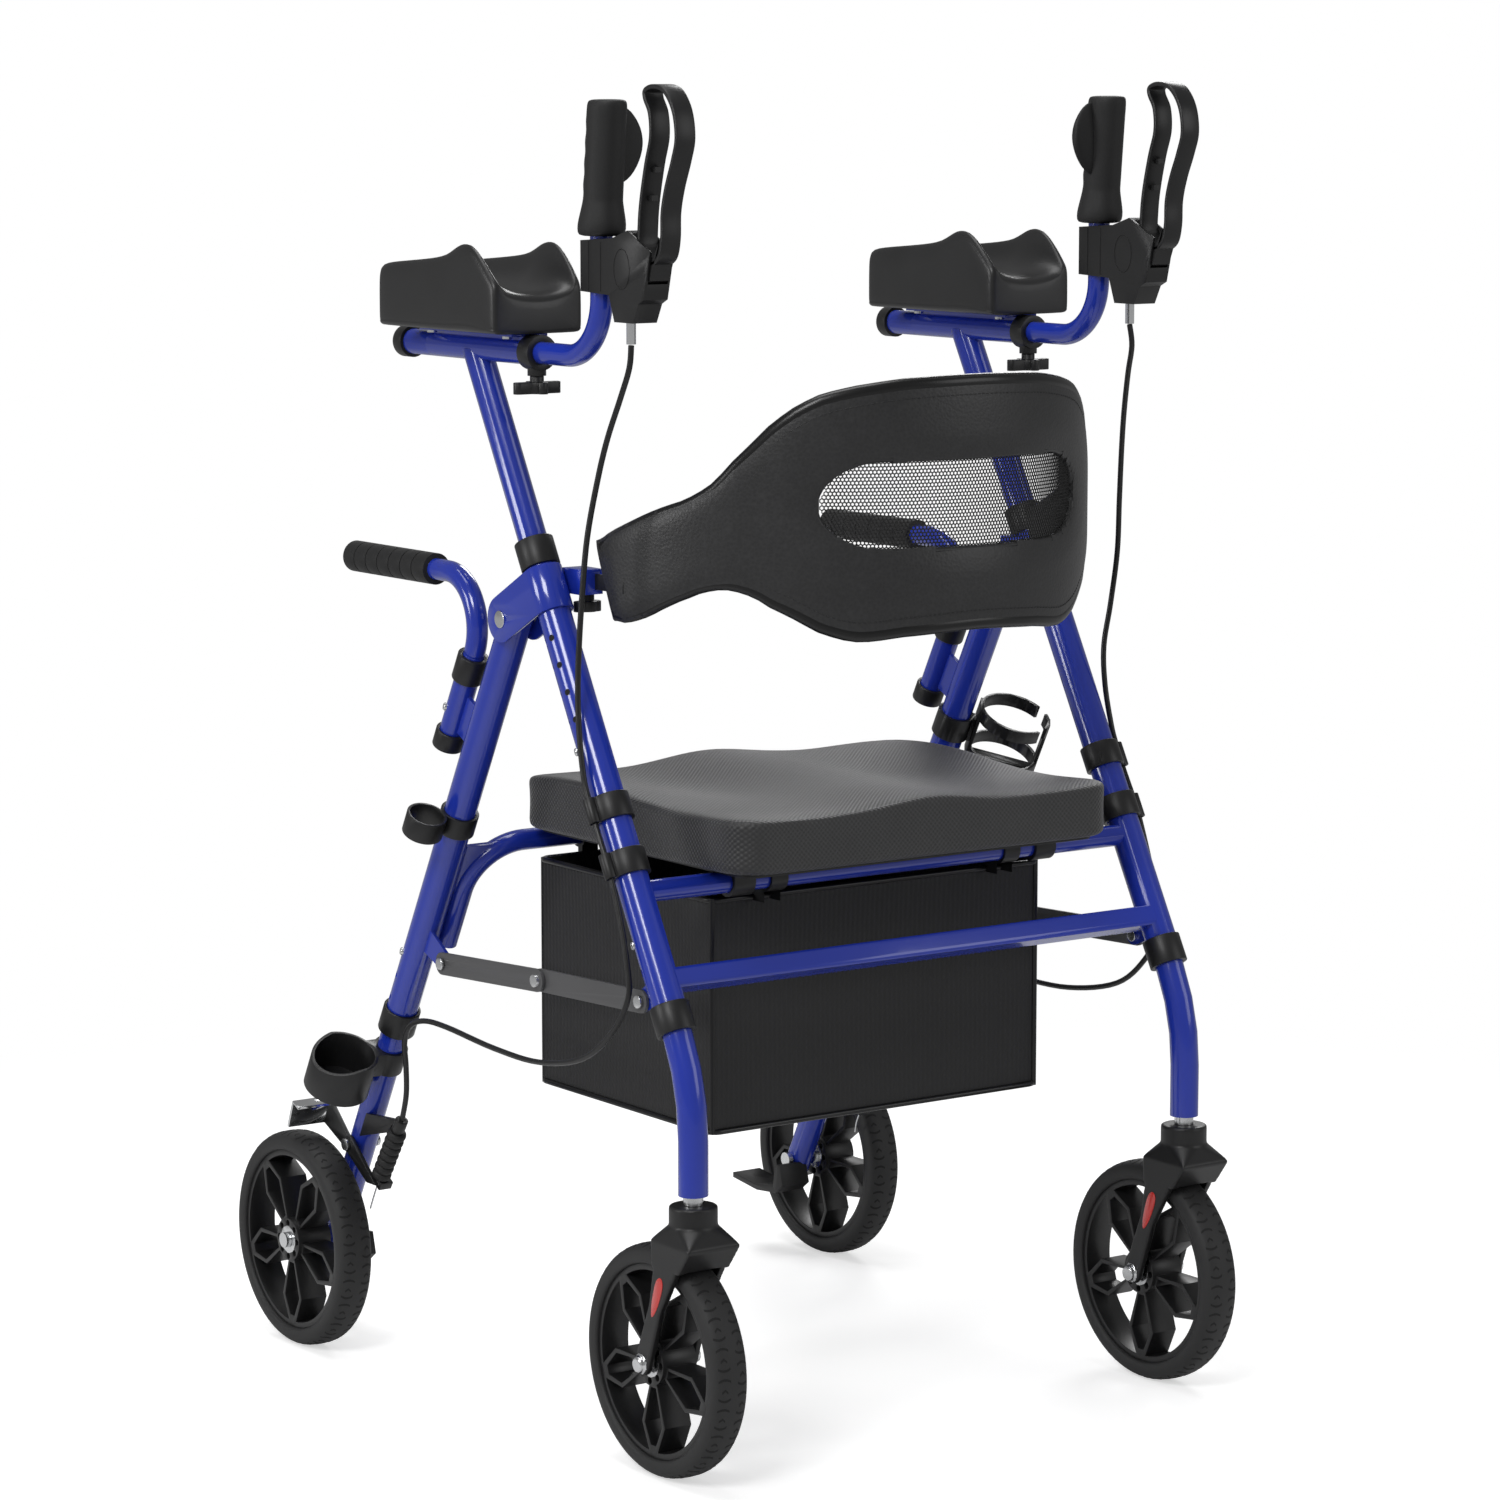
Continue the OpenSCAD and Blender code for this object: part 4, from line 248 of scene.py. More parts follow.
def make_finishes():
    c = bpy.context.scene.walker_finish
    grain, weave, pebble = make_groups()

    def shade(tint, share):
        return [v * share for v in tint]

    FINISH.update(
        paint=finish("Cobalt paint", c.paint, 0.2, grain, [420.0], 0.02, 0.0001, 0.08, 0.03, Coat_Weight=0.6,
                     Coat_Roughness=0.06),
        plastic=finish("Moulded black plastic", c.plastic, 0.42, grain, [1600.0], 0.16, 0.00012, 0.15),
        rim=finish("Rim plastic", c.plastic, 0.38, grain, [1300.0], 0.1),
        # The pebbled and woven finishes below take painted shade in their hollows through their tone
        rubber=finish("Grip rubber", shade(c.plastic, 0.9), 0.62, pebble, [900.0], 0.25, 0.0002),
        cable=finish("Cable jacket", shade(c.plastic, 1.1), 0.36, grain, [700.0], 0.06),
        tyre=finish("Tyre compound", c.tyre, 0.6, grain, [1100.0], 0.18, 0.0002),
        # A darker copy of the tyre colour: painted shade inside the tread slits and the height holes, and the own
        # colour of the housing's joint lines
        groove=finish("Tread groove", shade(c.tyre, 0.35), 0.8, grain),
        skin=finish("Pad skin", c.skin, 0.36, grain, [1500.0, 24.0], 0.14, 0.00015, 0.1),
        seat=finish("Seat cover weave", c.seat, 0.52, weave, [0.0046], 0.9, 0.0007, 0.6, 0.06, Sheen_Weight=0.2,
                    Sheen_Roughness=0.45),
        band=finish("Back band skin", shade(c.cloth, 1.9), 0.42, pebble, [360.0], 0.4, 0.0004, 0.4),
        binding=finish("Bound edge", shade(c.cloth, 0.4), 0.3, grain, [800.0], 0.12),
        cloth=finish("Basket cloth", c.cloth, 0.62, weave, [0.0052, 0.75], 0.7, 0.0005, 0.4, 0.05,
                     Sheen_Weight=0.1, Sheen_Roughness=0.4),
        net=finish("Net thread", shade(c.cloth, 0.8), 0.6, grain),
        thread=finish("Stitching", shade(c.cloth, 1.3), 0.6, grain),
        steel=finish("Bright steel", (0.72, 0.73, 0.74), 0.24, grain, [600.0], 0.05, 0.0001, 0.06, 0.06, Metallic=1.0),
        chrome=finish("Chromed plate", (0.82, 0.83, 0.84), 0.1, grain, [300.0], 0.03, 0.0001, 0.03, 0.04,
                      Metallic=1.0),
        grey=finish("Grey stay paint", (0.085, 0.085, 0.088), 0.4, grain, [900.0], 0.06),
        red=finish("Red reflector", c.reflector, 0.22, pebble, [700.0], 0.3, 0.0003, 0.1, 0.04, Coat_Weight=0.7),
    )


# Meshes

BODY_OF = {n: b for b, nodes in frame["record"]["behaviour"]["bodies"].items() for n in nodes}
MERGE = 1e-6
SOLID_MERGE = 2e-6
FLAT_ANGLE = math.radians(0.8)
EDGE_ANGLE = math.radians(32)


def add(name, me):
    ob = bpy.data.objects.new(name, me)
    bpy.context.scene.collection.objects.link(ob)
    return ob


def smooth(ob, sharp):
    ob.data.shade_smooth()
    ob.data.set_sharp_from_angle(angle=math.radians(sharp))
    return ob


def new_object(name, shape, sharp=40.0):
    """An object from a pair of corners and faces, merged and turned outwards"""
    verts, faces = shape
    me = bpy.data.meshes.new(name)
    me.from_pydata([tuple(v) for v in verts], [], faces)
    me.validate()
    bm = bmesh.new()
    bm.from_mesh(me)
    bmesh.ops.remove_doubles(bm, verts=bm.verts, dist=MERGE)
    bmesh.ops.recalc_face_normals(bm, faces=bm.faces)
    bm.to_mesh(me)
    bm.free()
    return smooth(add(name, me), sharp)


def line_object(name, points=()):
    """A closed line, or an empty object, for a tree to grow on"""
    me = bpy.data.meshes.new(name)
    n = len(points)
    me.from_pydata([tuple(p) for p in points], [(k, (k + 1) % n) for k in range(n)], [])
    return add(name, me)


def drop(ob):
    me = ob.data
    bpy.data.objects.remove(ob)
    bpy.data.meshes.remove(me)


def modify(ob, kind, **settings):
    m = ob.modifiers.new(kind.capitalize(), kind)
    for name, value in settings.items():
        setattr(m, name, value)
    return m


def apply_modifiers(ob):
    """Makes the evaluated shape the object's plain mesh"""
    bpy.context.view_layer.update()
    deps = bpy.context.evaluated_depsgraph_get()
    me = bpy.data.meshes.new_from_object(ob.evaluated_get(deps))
    ob.modifiers.clear()
    ob.data = me


def subdivide(ob):
    modify(ob, "SUBSURF", levels=1, render_levels=1)
    apply_modifiers(ob)
    smooth(ob, 180)


def round_edges(ob, width):
    modify(ob, "BEVEL", width=width, segments=2, limit_method="ANGLE", angle_limit=EDGE_ANGLE,
           use_clamp_overlap=True, miter_outer="MITER_ARC")
    apply_modifiers(ob)
    smooth(ob, 40)


def settle(ob, finish_name, body, *nodes):
    """Gives a piece its finish, its body and the solids that it stands for"""
    ob.data.materials.clear()
    ob.data.materials.append(FINISH[finish_name])
    if body:
        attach(ob, body)
    if nodes:
        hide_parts(*nodes)
    return ob


def piece(name, shape, finish_name, body, *nodes, sharp=40.0):
    return settle(new_object(name, shape, sharp), finish_name, body, *nodes)


def turns(n):
    """Angles of n even steps round a circle"""
    return [2 * math.pi * k / n for k in range(n)]


def loft(rings, caps=True, close_path=False):
    """Corners and faces of a skin over closed rings"""
    n, m = len(rings[0]), len(rings)
    faces = []
    for i in range(m if close_path else m - 1):
        a, b = i * n, ((i + 1) % m) * n
        faces += [(a + j, a + (j + 1) % n, b + (j + 1) % n, b + j) for j in range(n)]
    if caps and not close_path:
        faces.append(tuple(range(n))[::-1])
        faces.append(tuple(range((m - 1) * n, m * n)))
    return [p for r in rings for p in r], faces


def gather(parts):
    """Puts several lofts into one pair of corners and faces"""
    verts, faces = [], []
    for v, f in parts:
        n = len(verts)
        verts += v
        faces += [tuple(i + n for i in q) for q in f]
    return verts, faces


def spline(points, n, closed=False):
    """A smooth curve through points, with n steps between each two"""
    p = [Vector(q) for q in points]
    m = len(p)
    pick = (lambda i: p[i % m]) if closed else (lambda i: p[max(0, min(m - 1, i))])
    out = []
    for i in range(m if closed else m - 1):
        a, b, c, d = pick(i - 1), pick(i), pick(i + 1), pick(i + 2)
        for t in [k / n for k in range(n)]:
            out.append(0.5 * (2 * b + (c - a) * t + (2 * a - 5 * b + 4 * c - d) * t * t
                              + (3 * b - a - 3 * c + d) * t ** 3))
    return out if closed else out + [p[-1]]


def tube(path, radius, sides=10, closed=False, up=(1, 0, 0)):
    """A round tube along a path"""
    m = len(path)
    rings = []
    for i in range(m):
        ahead, behind = (path[(i + 1) % m], path[i - 1]) if closed else (path[min(i + 1, m - 1)], path[max(i - 1, 0)])
        t = (ahead - behind).normalized()
        u = t.cross(Vector(up)).normalized()
        v = t.cross(u)
        rings.append([path[i] + radius * (math.cos(a) * u + math.sin(a) * v) for a in turns(sides)])
    return loft(rings, caps=not closed, close_path=closed)


def lathe(profile, centre, steps, axis):
    """A closed outline of radius and place along an axis, turned about it"""
    rings = []
    for a in turns(steps):
        ring = []
        for r, along in profile:
            p = [r * math.cos(a), r * math.sin(a)]
            p.insert(axis, along)
            ring.append(Vector([c + q for c, q in zip(centre, p)]))
        rings.append(ring)
    return loft(rings, close_path=True)


def rounded_box(half_x, half_y, r, arc, side):
    """A rectangle with round corners, as a path with so many steps in each corner and along each side"""
    corners = [[(cx * (half_x - r) + r * math.cos(a), cy * (half_y - r) + r * math.sin(a))
                for a in [math.pi / 2 * (q + k / arc) for k in range(arc + 1)]] for q, (cx, cy) in enumerate(CORNERS)]
    path = []
    for here, ahead in zip(corners, corners[1:] + corners[:1]):
        (x0, y0), (x1, y1) = here[-1], ahead[0]
        path += here + [(x0 + (x1 - x0) * k / side, y0 + (y1 - y0) * k / side) for k in range(1, side)]
    return path


def dress(solid, finish_name, rules=(), edge=None, keep=None, name=None, flat=True, ride=True):
    """Copies a solid, merges it, rounds its edges and gives each face the finish of the first rule that it meets.
    A rule is a finish and a test on the face's middle."""
    bm = bmesh.new()
    bm.from_mesh(frame["nodes"][solid].data)
    bmesh.ops.remove_doubles(bm, verts=bm.verts, dist=SOLID_MERGE)
    if flat:
        bmesh.ops.dissolve_limit(bm, angle_limit=FLAT_ANGLE, verts=bm.verts, edges=bm.edges)
    names = [finish_name]
    for f in bm.faces:
        mid = f.calc_center_median()
        found = next((other for other, test in rules if test(mid)), finish_name)
        if found not in names:
            names.append(found)
        f.material_index = names.index(found)
    if keep:
        bmesh.ops.delete(bm, geom=[f for f in bm.faces if not keep(f.calc_center_median())], context="FACES")
    me = bpy.data.meshes.new(solid)
    bm.to_mesh(me)
    bm.free()
    ob = add(name or "dressed_" + solid, me)
    for n in names:
        me.materials.append(FINISH[n])
    if edge:
        round_edges(ob, edge)
    else:
        smooth(ob, 35)
    if ride:
        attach(ob, BODY_OF[solid])
    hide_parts(solid)
    return ob


def near(y, z, r):
    """A test for faces close to an axle along x"""
    return lambda p: math.hypot(p.y - y, p.z - z) < r


# Geometry Nodes

def geometry_tree(name, **inputs):
    """A tree with a geometry, some inputs of a kind and a first value, and a material"""
    g = bpy.data.node_groups.new(name, "GeometryNodeTree")
    for label, (kind, value) in {"Geometry": ("Geometry", None), **inputs, "Material": ("Material", None)}.items():
        s = g.interface.new_socket(name=label, in_out="INPUT", socket_type="NodeSocket" + kind)
        if value is not None:
            s.default_value = value
    g.interface.new_socket(name="Geometry", in_out="OUTPUT", socket_type="NodeSocketGeometry")
    return g, g.nodes.new("NodeGroupInput").outputs


def end_tree(g, made, material):
    real = node(g, "GeometryNodeRealizeInstances", made)
    node(g, "NodeGroupOutput", node(g, "GeometryNodeSetMaterial", Geometry=real, Material=material))
    return g


def copies(g, points, piece, rotation):
    """Copies of an object on points"""
    info = node(g, "GeometryNodeObjectInfo", Object=piece)
    return node(g, "GeometryNodeInstanceOnPoints", Points=points, Instance=info.outputs["Geometry"], Rotation=rotation)


def grow(ob, tree, finish_name, body, **values):
    """Runs a tree on an object, keeps the result as its plain mesh and gives it a body"""
    values["material"] = FINISH[finish_name]
    m = modify(ob, "NODES", node_group=tree)
    for item in tree.interface.items_tree:
        label = item.name.lower()
        if item.item_type == "SOCKET" and item.in_out == "INPUT" and label in values:
            m[item.identifier] = values[label]
    apply_modifiers(ob)
    smooth(ob, 35)
    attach(ob, body)


@cache
def axle_repeat_tree():
    """Repeats a small piece round an axle along x"""
    g, i = geometry_tree("Repeat round axle", Piece=("Object", None), Count=("Int", 12), Axle=("Vector", None))
    turn = Number(g, g.nodes.new("GeometryNodeInputIndex")) * (2 * math.pi / Number(g, i["Count"]))
    put = copies(g, node(g, "GeometryNodePoints", Count=i["Count"]), i["Piece"],
                 node(g, "ShaderNodeCombineXYZ", X=turn))
    return end_tree(g, node(g, "GeometryNodeTransform", Geometry=put, Translation=i["Axle"]), i["Material"])


@cache
def stitch_tree():
    """Lays stitches end to end along a line"""
    g, i = geometry_tree("Stitch line", Piece=("Object", None), Pitch=("Float", 0.004))
    line = node(g, "GeometryNodeMeshToCurve", Mesh=i["Geometry"])
    even = node(g, "GeometryNodeResampleCurve", setup={"mode": "LENGTH"}, Curve=line, Length=i["Pitch"])
    along = node(g, "FunctionNodeAlignRotationToVector", setup={"axis": "X"},
                 Vector=g.nodes.new("GeometryNodeInputTangent"))
    return end_tree(g, copies(g, even, i["Piece"], along), i["Material"])


@cache
def net_tree():
    """A net of six-sided cells, kept inside a window with round ends and bent round an upright axis"""
    g, i = geometry_tree("Bent net", Width=("Float", 0.28), Height=("Float", 0.08), Pitch=("Float", 0.004),
                         Thread=("Float", 0.0004), Radius=("Float", 0.23), Centre=("Vector", None))
    width, height, pitch, radius = (Number(g, i[label]) for label in ("Width", "Height", "Pitch", "Radius"))
    # Rows of cell middles, every second row moved by half a cell
    rise = pitch * (math.sqrt(3) / 2)
    cols, rows = (width / pitch).op("CEIL"), (height / rise).op("CEIL")
    index = Number(g, g.nodes.new("GeometryNodeInputIndex"))
    row, col = (index / cols).op("FLOOR"), index.op("MODULO", cols)
    x = (col + row.op("MODULO", 2.0) * 0.5 - cols * 0.5) * pitch
    z = (row - rows * 0.5) * rise
    points = node(g, "GeometryNodePoints", Count=cols * rows, Position=node(g, "ShaderNodeCombineXYZ", X=x, Z=z))
    end = height * 0.5
    past = (x.op("ABSOLUTE") - (width * 0.5 - end)).op("MAXIMUM", 0.0)
    inside = (past * past + z * z).op("SQRT").op("LESS_THAN", end)
    # One cell of thread, stood upright
    circle = "GeometryNodeCurvePrimitiveCircle"
    wire = node(g, "GeometryNodeCurveToMesh", Curve=node(g, circle, Resolution=6, Radius=pitch / math.sqrt(3)),
                Profile_Curve=node(g, circle, Resolution=3, Radius=i["Thread"]))
    stand = node(g, "GeometryNodeTransform", Geometry=wire, Rotation=(math.pi / 2, math.pi / 6, 0))
    put = node(g, "GeometryNodeInstanceOnPoints", Points=points, Selection=inside, Instance=stand)
    # The flat net bent round the axis
    flat_x, flat_y, flat_z = parts_of(g, g.nodes.new("GeometryNodeInputPosition"))
    angle, reach = flat_x / radius, radius - flat_y
    bent = node(g, "ShaderNodeCombineXYZ", reach * angle.op("SINE"), reach * angle.op("COSINE") * -1.0, flat_z)
    bend = node(g, "GeometryNodeSetPosition", Geometry=node(g, "GeometryNodeRealizeInstances", put), Position=bent)
    return end_tree(g, node(g, "GeometryNodeTransform", Geometry=bend, Translation=i["Centre"]), i["Material"])


def stitches(name, points, body):
    """A closed sewn line: small rounded threads along the points"""
    pitch = bpy.context.scene.walker_sizes.stitch
    half, r = pitch * 0.36, 0.0005
    ends = [(-half, 0.4 * r), (-half * 0.7, r), (half * 0.7, r), (half, 0.4 * r)]
    thread = new_object(name + "_thread", loft([[Vector((x, q * math.cos(a), q * math.sin(a))) for a in turns(6)]
                                                for x, q in ends]))
    grow(line_object(name, points), stitch_tree(), "thread", body, piece=thread, pitch=pitch)
    drop(thread)


def seen_directly(tree):
    """One where the camera looks, through net and glass too, and nothing for light that bounces"""
    light = tree.nodes.new("ShaderNodeLightPath").outputs
    return (Number(tree, light["Is Camera Ray"]) + Number(tree, light["Is Transmission Ray"])).op("MINIMUM", 1.0)


def aim(direction):
    return direction.to_track_quat("-Z", "Y").to_euler()


class WALKER_OT_stage(bpy.types.Operator):
    """Make the camera, the floor and the lights"""
    bl_idname = "walker.stage"
    bl_label = "Stage"

    # Name, place, power and size of each lamp
    lamps = [("Key", (-3.6, -2.2, 3.6), 88, 1.5), ("Fill", (2.6, -4.2, 2.2), 30, 2.4),
             ("Rim", (3.2, 2.6, 3.0), 60, 1.6), ("Top", (-0.4, 0.2, 4.4), 62, 2.2),
             ("Strip", (-4.4, 1.2, 1.6), 42, 1.2)]

    def execute(self, context):
        scene = context.scene
        scene.view_settings.view_transform = "Standard"
        cam = add("Camera", bpy.data.cameras.new("Camera"))
        cam.data.sensor_width = 36
        cam.data.lens = 116.42
        cam.data.clip_end = 60
        cam.location = (-2.49662, -3.55205, 1.18991)
        az, el = math.radians(-35.24), math.radians(8.21)
        back = Vector((math.sin(az) * math.cos(el), -math.cos(az) * math.cos(el), math.sin(el)))
        cam.rotation_euler = aim(-back)
        scene.camera = cam
        self.floor()
        self.world(scene)
        middle = Vector((0, 0, 0.55))
        for name, at, power, size in self.lamps:
            lamp = bpy.data.lights.new(name, "AREA")
            lamp.energy = power
            lamp.size = size
            ob = add(name, lamp)
            ob.location = at
            ob.rotation_euler = aim(middle - ob.location)
        return {"FINISHED"}

    def floor(self):
        """A pale floor that takes shadows near the walker and fades to white further out"""
        half = 14.0
        ob = new_object("floor", ([(half * x, half * y, 0) for x, y in CORNERS], [(0, 1, 2, 3)]))
        m = bpy.data.materials.new("Pale floor")
        m.use_nodes = True
        t = m.node_tree
        seen = seen_directly(t)
        pale = feed(t, t.nodes["Principled BSDF"], Base_Color=(0.8, 0.8, 0.8, 1), Roughness=0.9)
        lit = node(t, "ShaderNodeAddShader", pale, node(t, "ShaderNodeEmission", Strength=seen * 0.55))
        white = node(t, "ShaderNodeEmission", Strength=seen * 0.6 + 0.4)
        reach = node(t, "ShaderNodeVectorMath", place(t), setup={"operation": "LENGTH"})
        fade = node(t, "ShaderNodeMapRange", setup={"interpolation_type": "SMOOTHSTEP"},
                    Value=reach.outputs["Value"], From_Min=0.7, From_Max=1.6)
        feed(t, t.nodes["Material Output"], Surface=node(t, "ShaderNodeMixShader", fade, lit, white))
        ob.data.materials.append(m)

    def world(self, scene):
        w = bpy.data.worlds.new("Studio")
        w.use_nodes = True
        t = w.node_tree
        feed(t, t.nodes["Background"], Color=(1, 1, 1, 1), Strength=seen_directly(t) * 0.76 + 0.24)
        scene.world = w


# The route of a brake cable on the left, in metres, from the lever to the rear brake
CABLE_ROUTE = [
    (0.266, -0.225, 0.949), (0.266, -0.222, 0.930), (0.266, -0.209, 0.905), (0.268, -0.192, 0.870),
    (0.270, -0.180, 0.835), (0.274, -0.170, 0.787), (0.278, -0.168, 0.740), (0.281, -0.167, 0.693),
    (0.283, -0.168, 0.655), (0.285, -0.173, 0.620), (0.286, -0.181, 0.585), (0.286, -0.188, 0.568),
    (0.286, -0.198, 0.548), (0.286, -0.212, 0.524), (0.286, -0.222, 0.505), (0.286, -0.236, 0.470),
    (0.287, -0.247, 0.435), (0.288, -0.250, 0.408), (0.290, -0.228, 0.375), (0.292, -0.186, 0.346),
    (0.291, -0.117, 0.331), (0.289, -0.042, 0.330), (0.287, 0.040, 0.335), (0.286, 0.080, 0.334),
    (0.285, 0.106, 0.325), (0.283, 0.119, 0.308), (0.280, 0.122, 0.285), (0.277, 0.127, 0.258),
    (0.275, 0.138, 0.2322),
]
CABLE_D = 0.005
CABLE_STEPS = 6
# The left cable bows outwards above this height
CABLE_BOW, CABLE_BOW_Z = 0.028, 0.640
# Points of the route where a cable passes from one body to the next
ARM_POINT, CLIP_POINT, FOOT_POINT = 4, 13, 24


class WALKER_OT_cables(bpy.types.Operator):
    """Make the brake cables, each in four lengths that end at the joints they cross"""
    bl_idname = "walker.cables"
    bl_label = "Brake cables"

    def execute(self, context):
        top = CABLE_ROUTE[0][2]
        for side, sx in SIDES.items():
            route = []
            for x, y, z in CABLE_ROUTE:
                if side == "left" and z >= CABLE_BOW_Z:
                    x += CABLE_BOW * math.sin(math.pi * (top - z) / (top - CABLE_BOW_Z))
                route.append((sx * x, y, z))
            whole = spline(route, CABLE_STEPS)
            x = sx * LEG_X
            arm = "arm_" + side
            for part, first, last, bodies, start, end in (
                    ("upper", 0, ARM_POINT, (arm, "handle_" + side), (x, -0.19, 0.85), (x, -0.22, 0.93)),
                    ("middle", ARM_POINT, CLIP_POINT, ("front_frame", arm), (x, -0.19, 0.58), (x, -0.18, 0.82)),
                    ("lower", CLIP_POINT, FOOT_POINT, ("front_frame", "rear_frame"),
                     (x, -0.20, 0.34), (x, 0.07, 0.34)),
                    ("tail", FOOT_POINT, len(route) - 1, ("rear_frame", "rear_foot_" + side),
                     (x, 0.110, 0.318), (x, 0.136, 0.238))):
                path = whole[first * CABLE_STEPS:last * CABLE_STEPS + 1]
                ob = piece("brake_cable_%s_%s" % (part, side), tube(path, CABLE_D / 2, 12), "cable", None,
                           "brake_cables")
                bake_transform(ob)
                run = sum((b - a).length for a, b in zip(path, path[1:]))
        return {"FINISHED"}


class WALKER_OT_frame(bpy.types.Operator):
    """Dress the painted tubes, their fittings, the stays and the snap buttons"""
    bl_idname = "walker.frame"
    bl_label = "Frame"

    def execute(self, context):
        edge = context.scene.walker_sizes.edge
        fine = edge * 0.6
        dress("front_legs", "paint")
        dress("rear_frame", "paint")
        dress("hinge_brackets", "paint", edge=edge)
        dress("front_frame_fittings", "plastic",
              [("steel", near(*HINGE, 0.008)), ("steel", near(*STAY_FRONT, 0.006))], edge)
        dress("rear_frame_fittings", "plastic", [("steel", near(*STAY_REAR, 0.0065))], edge)
        for stays in ("front_stays", "rear_stays"):
            dress(stays, "grey", [("steel", near(*STAY_MIDDLE, 0.0056))], fine)
        for side, sx in SIDES.items():
            self.height_marks(side, sx)
            dress("front_lower_leg_" + side, "paint", [("steel", lambda p: p.z < 0.2489)])
            dress("rear_lower_leg_" + side, "paint", [("steel", near(*REAR_AXLE[1:], 0.0081))])
            dress("arm_post_" + side, "paint", self.arm_rules(sx), fine, flat=False)
            dress("handle_tube_" + side, "paint")
            dress("push_handle_" + side, "paint", [("rubber", lambda p: p.y > 0.0845)], fine)
            for kind in ("post", "foot", "rear", "push"):
                dress("%s_button_%s" % (kind, side), "steel", edge=edge * 0.8)
        return {"FINISHED"}

    def height_marks(self, side, sx):
        """A row of height holes on the outer flank of a front leg, above its snap button, drawn as dark discs of
        painted shade
        """
        pitch, mark_r, hole_r = 0.025, 0.0028, 0.0017
        along = Vector((0, math.sin(FRONT_TILT), math.cos(FRONT_TILT)))
        front = Vector((0, -math.cos(FRONT_TILT), math.sin(FRONT_TILT)))
        out = (Vector((sx, 0, 0)) * 0.94 + front * 0.34).normalized()
        sideways = along.cross(out)
        low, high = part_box("post_button_" + side)
        leg = Vector((sx * LEG_X, -0.09669, 0.73332))
        start = along.dot((Vector(low) + Vector(high)) / 2 - leg)

        def ring(step, r, lift):
            return [leg + along * (start + pitch * step + r * math.sin(a)) + sideways * r * math.cos(a)
                    + out * (math.sqrt(LEG_R ** 2 - (r * math.cos(a)) ** 2) + lift) for a in turns(20)]

        parts = [loft([ring(step, r, lift) for r, lift in ((mark_r, -0.0006), (mark_r, 0.0001), (hole_r, 0.0001))])
                 for step in (1, 2, 3, 4)]
        # Dark discs that paint the shade inside the holes
        piece("height_marks_" + side, gather(parts), "groove", "front_frame", sharp=30)

    def arm_rules(self, sx):
        """Finishes of an arm post: its end cap, its clamp ring and the bolts of the plate"""
        axis_x, tube_r = sx * LEG_X, 0.01112

        def away(p):
            return math.hypot(p.x - axis_x, p.z - FOREARM_Z)

        def cap(p):
            return p.y > 0.1165 and away(p) > tube_r or p.y > 0.1295

        def ring(p):
            return away(p) < 0.02 and (p.y < -0.0720 and away(p) > tube_r or p.y < -0.0815 and away(p) > 0.0096)

        def bolt(p):
            return 0.9464 < p.z < 0.9489 and abs(p.x - axis_x) > 0.0088

        return [("plastic", cap), ("plastic", ring), ("steel", bolt)]


